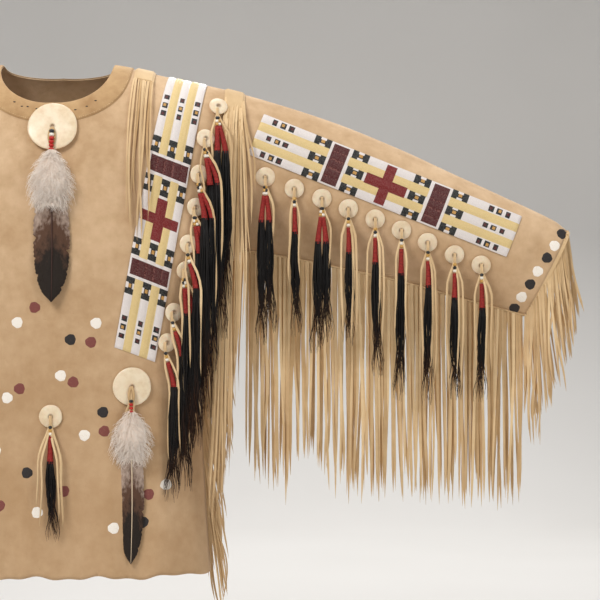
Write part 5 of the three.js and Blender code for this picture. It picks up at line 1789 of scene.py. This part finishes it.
@dataclass
class Ornaments:
    """The neck disc and the belly discs, with the cords that hold their feathers."""

    paints: Paints
    drops: Drops

    def materials(self) -> list[Material]:
        """The finishes of the cords, by slot."""
        return [*self.drops.materials(), self.paints.scarlet]

    def bead_row(self, stack: MeshStack, x: float, z: float, off: float, low: Array, slots: list[int],
                 radius: float) -> None:
        """A row of round beads down the front of a disc at the given drops below its middle."""
        for value, slot in zip(low, slots):
            place = self.drops.lane_path(x, z, x, np.array([0.0, value]), off)[1:]
            stack.discs(ball(radius, 0.72, 9), place, np.array([UP]), sides=14, slot=slot)

    def loops(self, stack: MeshStack, x: float, z: float, off: float, long: float, spread: float) -> None:
        """Two flat thong loops from the disc's hole."""
        for side in (-1.0, 1.0):
            low = np.linspace(-0.001, long, 12)
            path = self.drops.lane_path(x, z, x, low, off)
            path[:, 0] += side * spread * np.sin(np.pi * np.linspace(0, 1, 12)) ** 0.8
            path[0, 1] += 0.004
            wide = np.full((1, 12), 0.0024)
            stack.strands(path[None], wide, wide * 0.35, sides=6, tone=np.array([0.05]), slot=1)

    def neck(self) -> None:
        """The large disc under the neck: loops, dark and pale beads, then four scarlet ones."""
        x, z, seat = 0.003, -0.114, 0.0046
        self.drops.discs("neck_disc_shell", x, z, 0.038, seat)
        stack = MeshStack()
        off = seat + self.drops.thickness + 0.0052
        self.loops(stack, x, z, off - 0.002, 0.030, 0.0042)
        self.bead_row(stack, x, z, off, np.linspace(0.006, 0.034, 6), [2, 4, 6, 6, 6, 6], 0.0042)
        stack.build("neck_disc_cord", self.materials(), ["neck_disc"])
        Feather(self.paints, "neck_feather", x, -0.149, -0.196, -0.380, 0.0115, 0.036, -0.244, 2300,
                self.paints.dark_quill).make(Hand.LEFT)

    def belly(self, hand: Hand) -> None:
        """A disc on one side of the belly with its thongs, beads and feather."""
        x, z, seat = 0.1225, -0.509, 0.0024
        word = hand.name.lower()
        self.drops.discs(f"{word}_belly_disc_shell", x, z, 0.0295, seat, hand)
        stack = MeshStack()
        off = seat + self.drops.thickness + 0.0035
        self.loops(stack, x, z, off, 0.028, 0.0036)
        self.drops.thongs(stack, x, z, x, 0.052, 4, seat, 411)
        self.bead_row(stack, x, z, off + 0.002, np.linspace(0.022, 0.038, 4), [2, 6, 6, 6], 0.0034)
        stack.build(f"{word}_belly_disc_cord", self.materials(), [f"{word}_belly_disc"], hand)
        slim = mm((0, 14), (140, 19), (300, 20), (520, 20), (720, 17), (860, 12), (950, 6), (1000, 0.6))
        Feather(self.paints, f"{word}_belly_feather", x, -0.545, -0.600, -0.778, 0.0075, 0.034, -0.630, 1500,
                self.paints.quill, shape=slim).make(hand)


def main() -> None:
    """Builds every piece, then the light, the floor and the camera."""
    logging.basicConfig(level=logging.INFO, format="%(name)s %(message)s")
    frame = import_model()
    LOG.info("dressing %d nodes", len(frame["nodes"]))
    paints = Paints()
    front, back, band = Panels(paints).make()
    strips, sleeves = Strips(paints), Sleeves(paints)
    fringes, drops = Fringes(paints), Drops(paints)
    ornaments = Ornaments(paints, drops)
    edges = []
    for hand in Hand:
        sleeve = sleeves.make(hand)
        strips.shoulder(hand)
        strips.sleeve(hand)
        on_sleeve, on_cuff, *on_body = fringes.make(hand)
        edges += on_body
        drops.make(hand)
        ornaments.belly(hand)
    ornaments.neck()
    drops.chest()
    Studio().make()
    LOG.info("every piece is made")


@dataclass
class Studio:
    """A pale sweep, soft lights and the camera at the photograph's angle."""

    frame_width: float = 0.930
    centre_x: float = 0.3798
    centre_z: float = -0.3767
    plane_y: float = -0.060
    distance: float = 3.0
    sensor: float = 36.0
    air: float = 0.30
    # radius of the bend, the backdrop's y and the floor's z
    bend: float = 1.5
    back: float = 4.9
    floor: float = -1.15
    # name, place, power in watts and size of each light
    lights: tuple = (("key_light", (-1.3, -2.4, 1.7), 70.0, 1.3), ("fill_light", (2.6, -2.2, 0.6), 24.0, 2.0),
                     ("top_light", (0.3, 0.2, 2.2), 34.0, 1.6), ("back_light", (0.8, 3.7, 1.9), 86.0, 1.8))

    def make(self) -> None:
        """Floor and backdrop, lights, world and camera."""
        self.sweep()
        for row in self.lights:
            self.light(*row)
        self.world()
        self.camera()

    def sweep(self) -> None:
        """A floor that curves up into a backdrop: a grid whose rows follow a quarter circle."""
        radius, back, floor = self.bend, self.back, self.floor
        turn = np.linspace(0.0, np.pi / 2, 24)
        y = np.concatenate([[-6.0], back - radius + radius * np.sin(turn), [back]])
        z = np.concatenate([[floor], floor + radius - radius * np.cos(turn), [5.0]])
        x = np.linspace(-8.0, 8.0, 12)
        points = np.stack([np.broadcast_to(x, (len(y), 12)), np.repeat(y[:, None], 12, 1),
                           np.repeat(z[:, None], 12, 1)], -1)
        mesh = bpy.data.meshes.new("studio_sweep")
        index = np.arange(len(y) * 12).reshape(len(y), 12)
        quads = np.stack([index[:-1, :-1], index[:-1, 1:], index[1:, 1:], index[1:, :-1]], -1).reshape(-1, 4)
        mesh.from_pydata(points.reshape(-1, 3).tolist(), [], quads.tolist())
        mesh.polygons.foreach_set("use_smooth", np.full(len(quads), True))
        material = bpy.data.materials.new("pale_sweep")
        material.use_nodes = True
        graph = Graph(material.node_tree)
        shader = material.node_tree.nodes["Principled BSDF"]
        cloud = graph.noise(graph.place(), 1.2, 2.0)
        graph.feed(shader, {
            "Base Color": graph.blend(cloud, rgb(226, 223, 218), rgb(236, 233, 229)), "Roughness": 0.9})
        mesh.materials.append(material)
        sweep = bpy.data.objects.new("studio_sweep", mesh)
        bpy.context.scene.collection.objects.link(sweep)

    def light(self, name: str, place: tuple[float, float, float], power: float, size: float) -> None:
        """One soft square light that faces the shirt's middle."""
        data = bpy.data.lights.new(name, "AREA")
        data.energy, data.size = power, size
        lamp = bpy.data.objects.new(name, data)
        lamp.location = place
        lamp.rotation_euler = (Vector((0.2, 0.0, -0.4)) - Vector(place)).to_track_quat("-Z", "Y").to_euler()
        bpy.context.scene.collection.objects.link(lamp)

    def world(self) -> None:
        """A dim even sky that opens the shadows."""
        world = bpy.data.worlds.new("studio_air")
        world.use_nodes = True
        inputs = world.node_tree.nodes["Background"].inputs
        inputs["Color"].default_value = rgb(238, 238, 240)
        inputs["Strength"].default_value = self.air
        bpy.context.scene.world = world

    def camera(self) -> None:
        """The camera looks straight along +Y at the photographed half."""
        data = bpy.data.cameras.new("photo_camera")
        data.sensor_width = self.sensor
        data.lens = self.sensor * self.distance / self.frame_width
        camera = bpy.data.objects.new("photo_camera", data)
        camera.location = (self.centre_x, self.plane_y - self.distance, self.centre_z)
        camera.rotation_euler = (np.pi / 2, 0.0, 0.0)
        bpy.context.scene.collection.objects.link(camera)
        bpy.context.scene.camera = camera
        bpy.context.scene.view_settings.view_transform = "Standard"


if __name__ == "__main__":
    main()
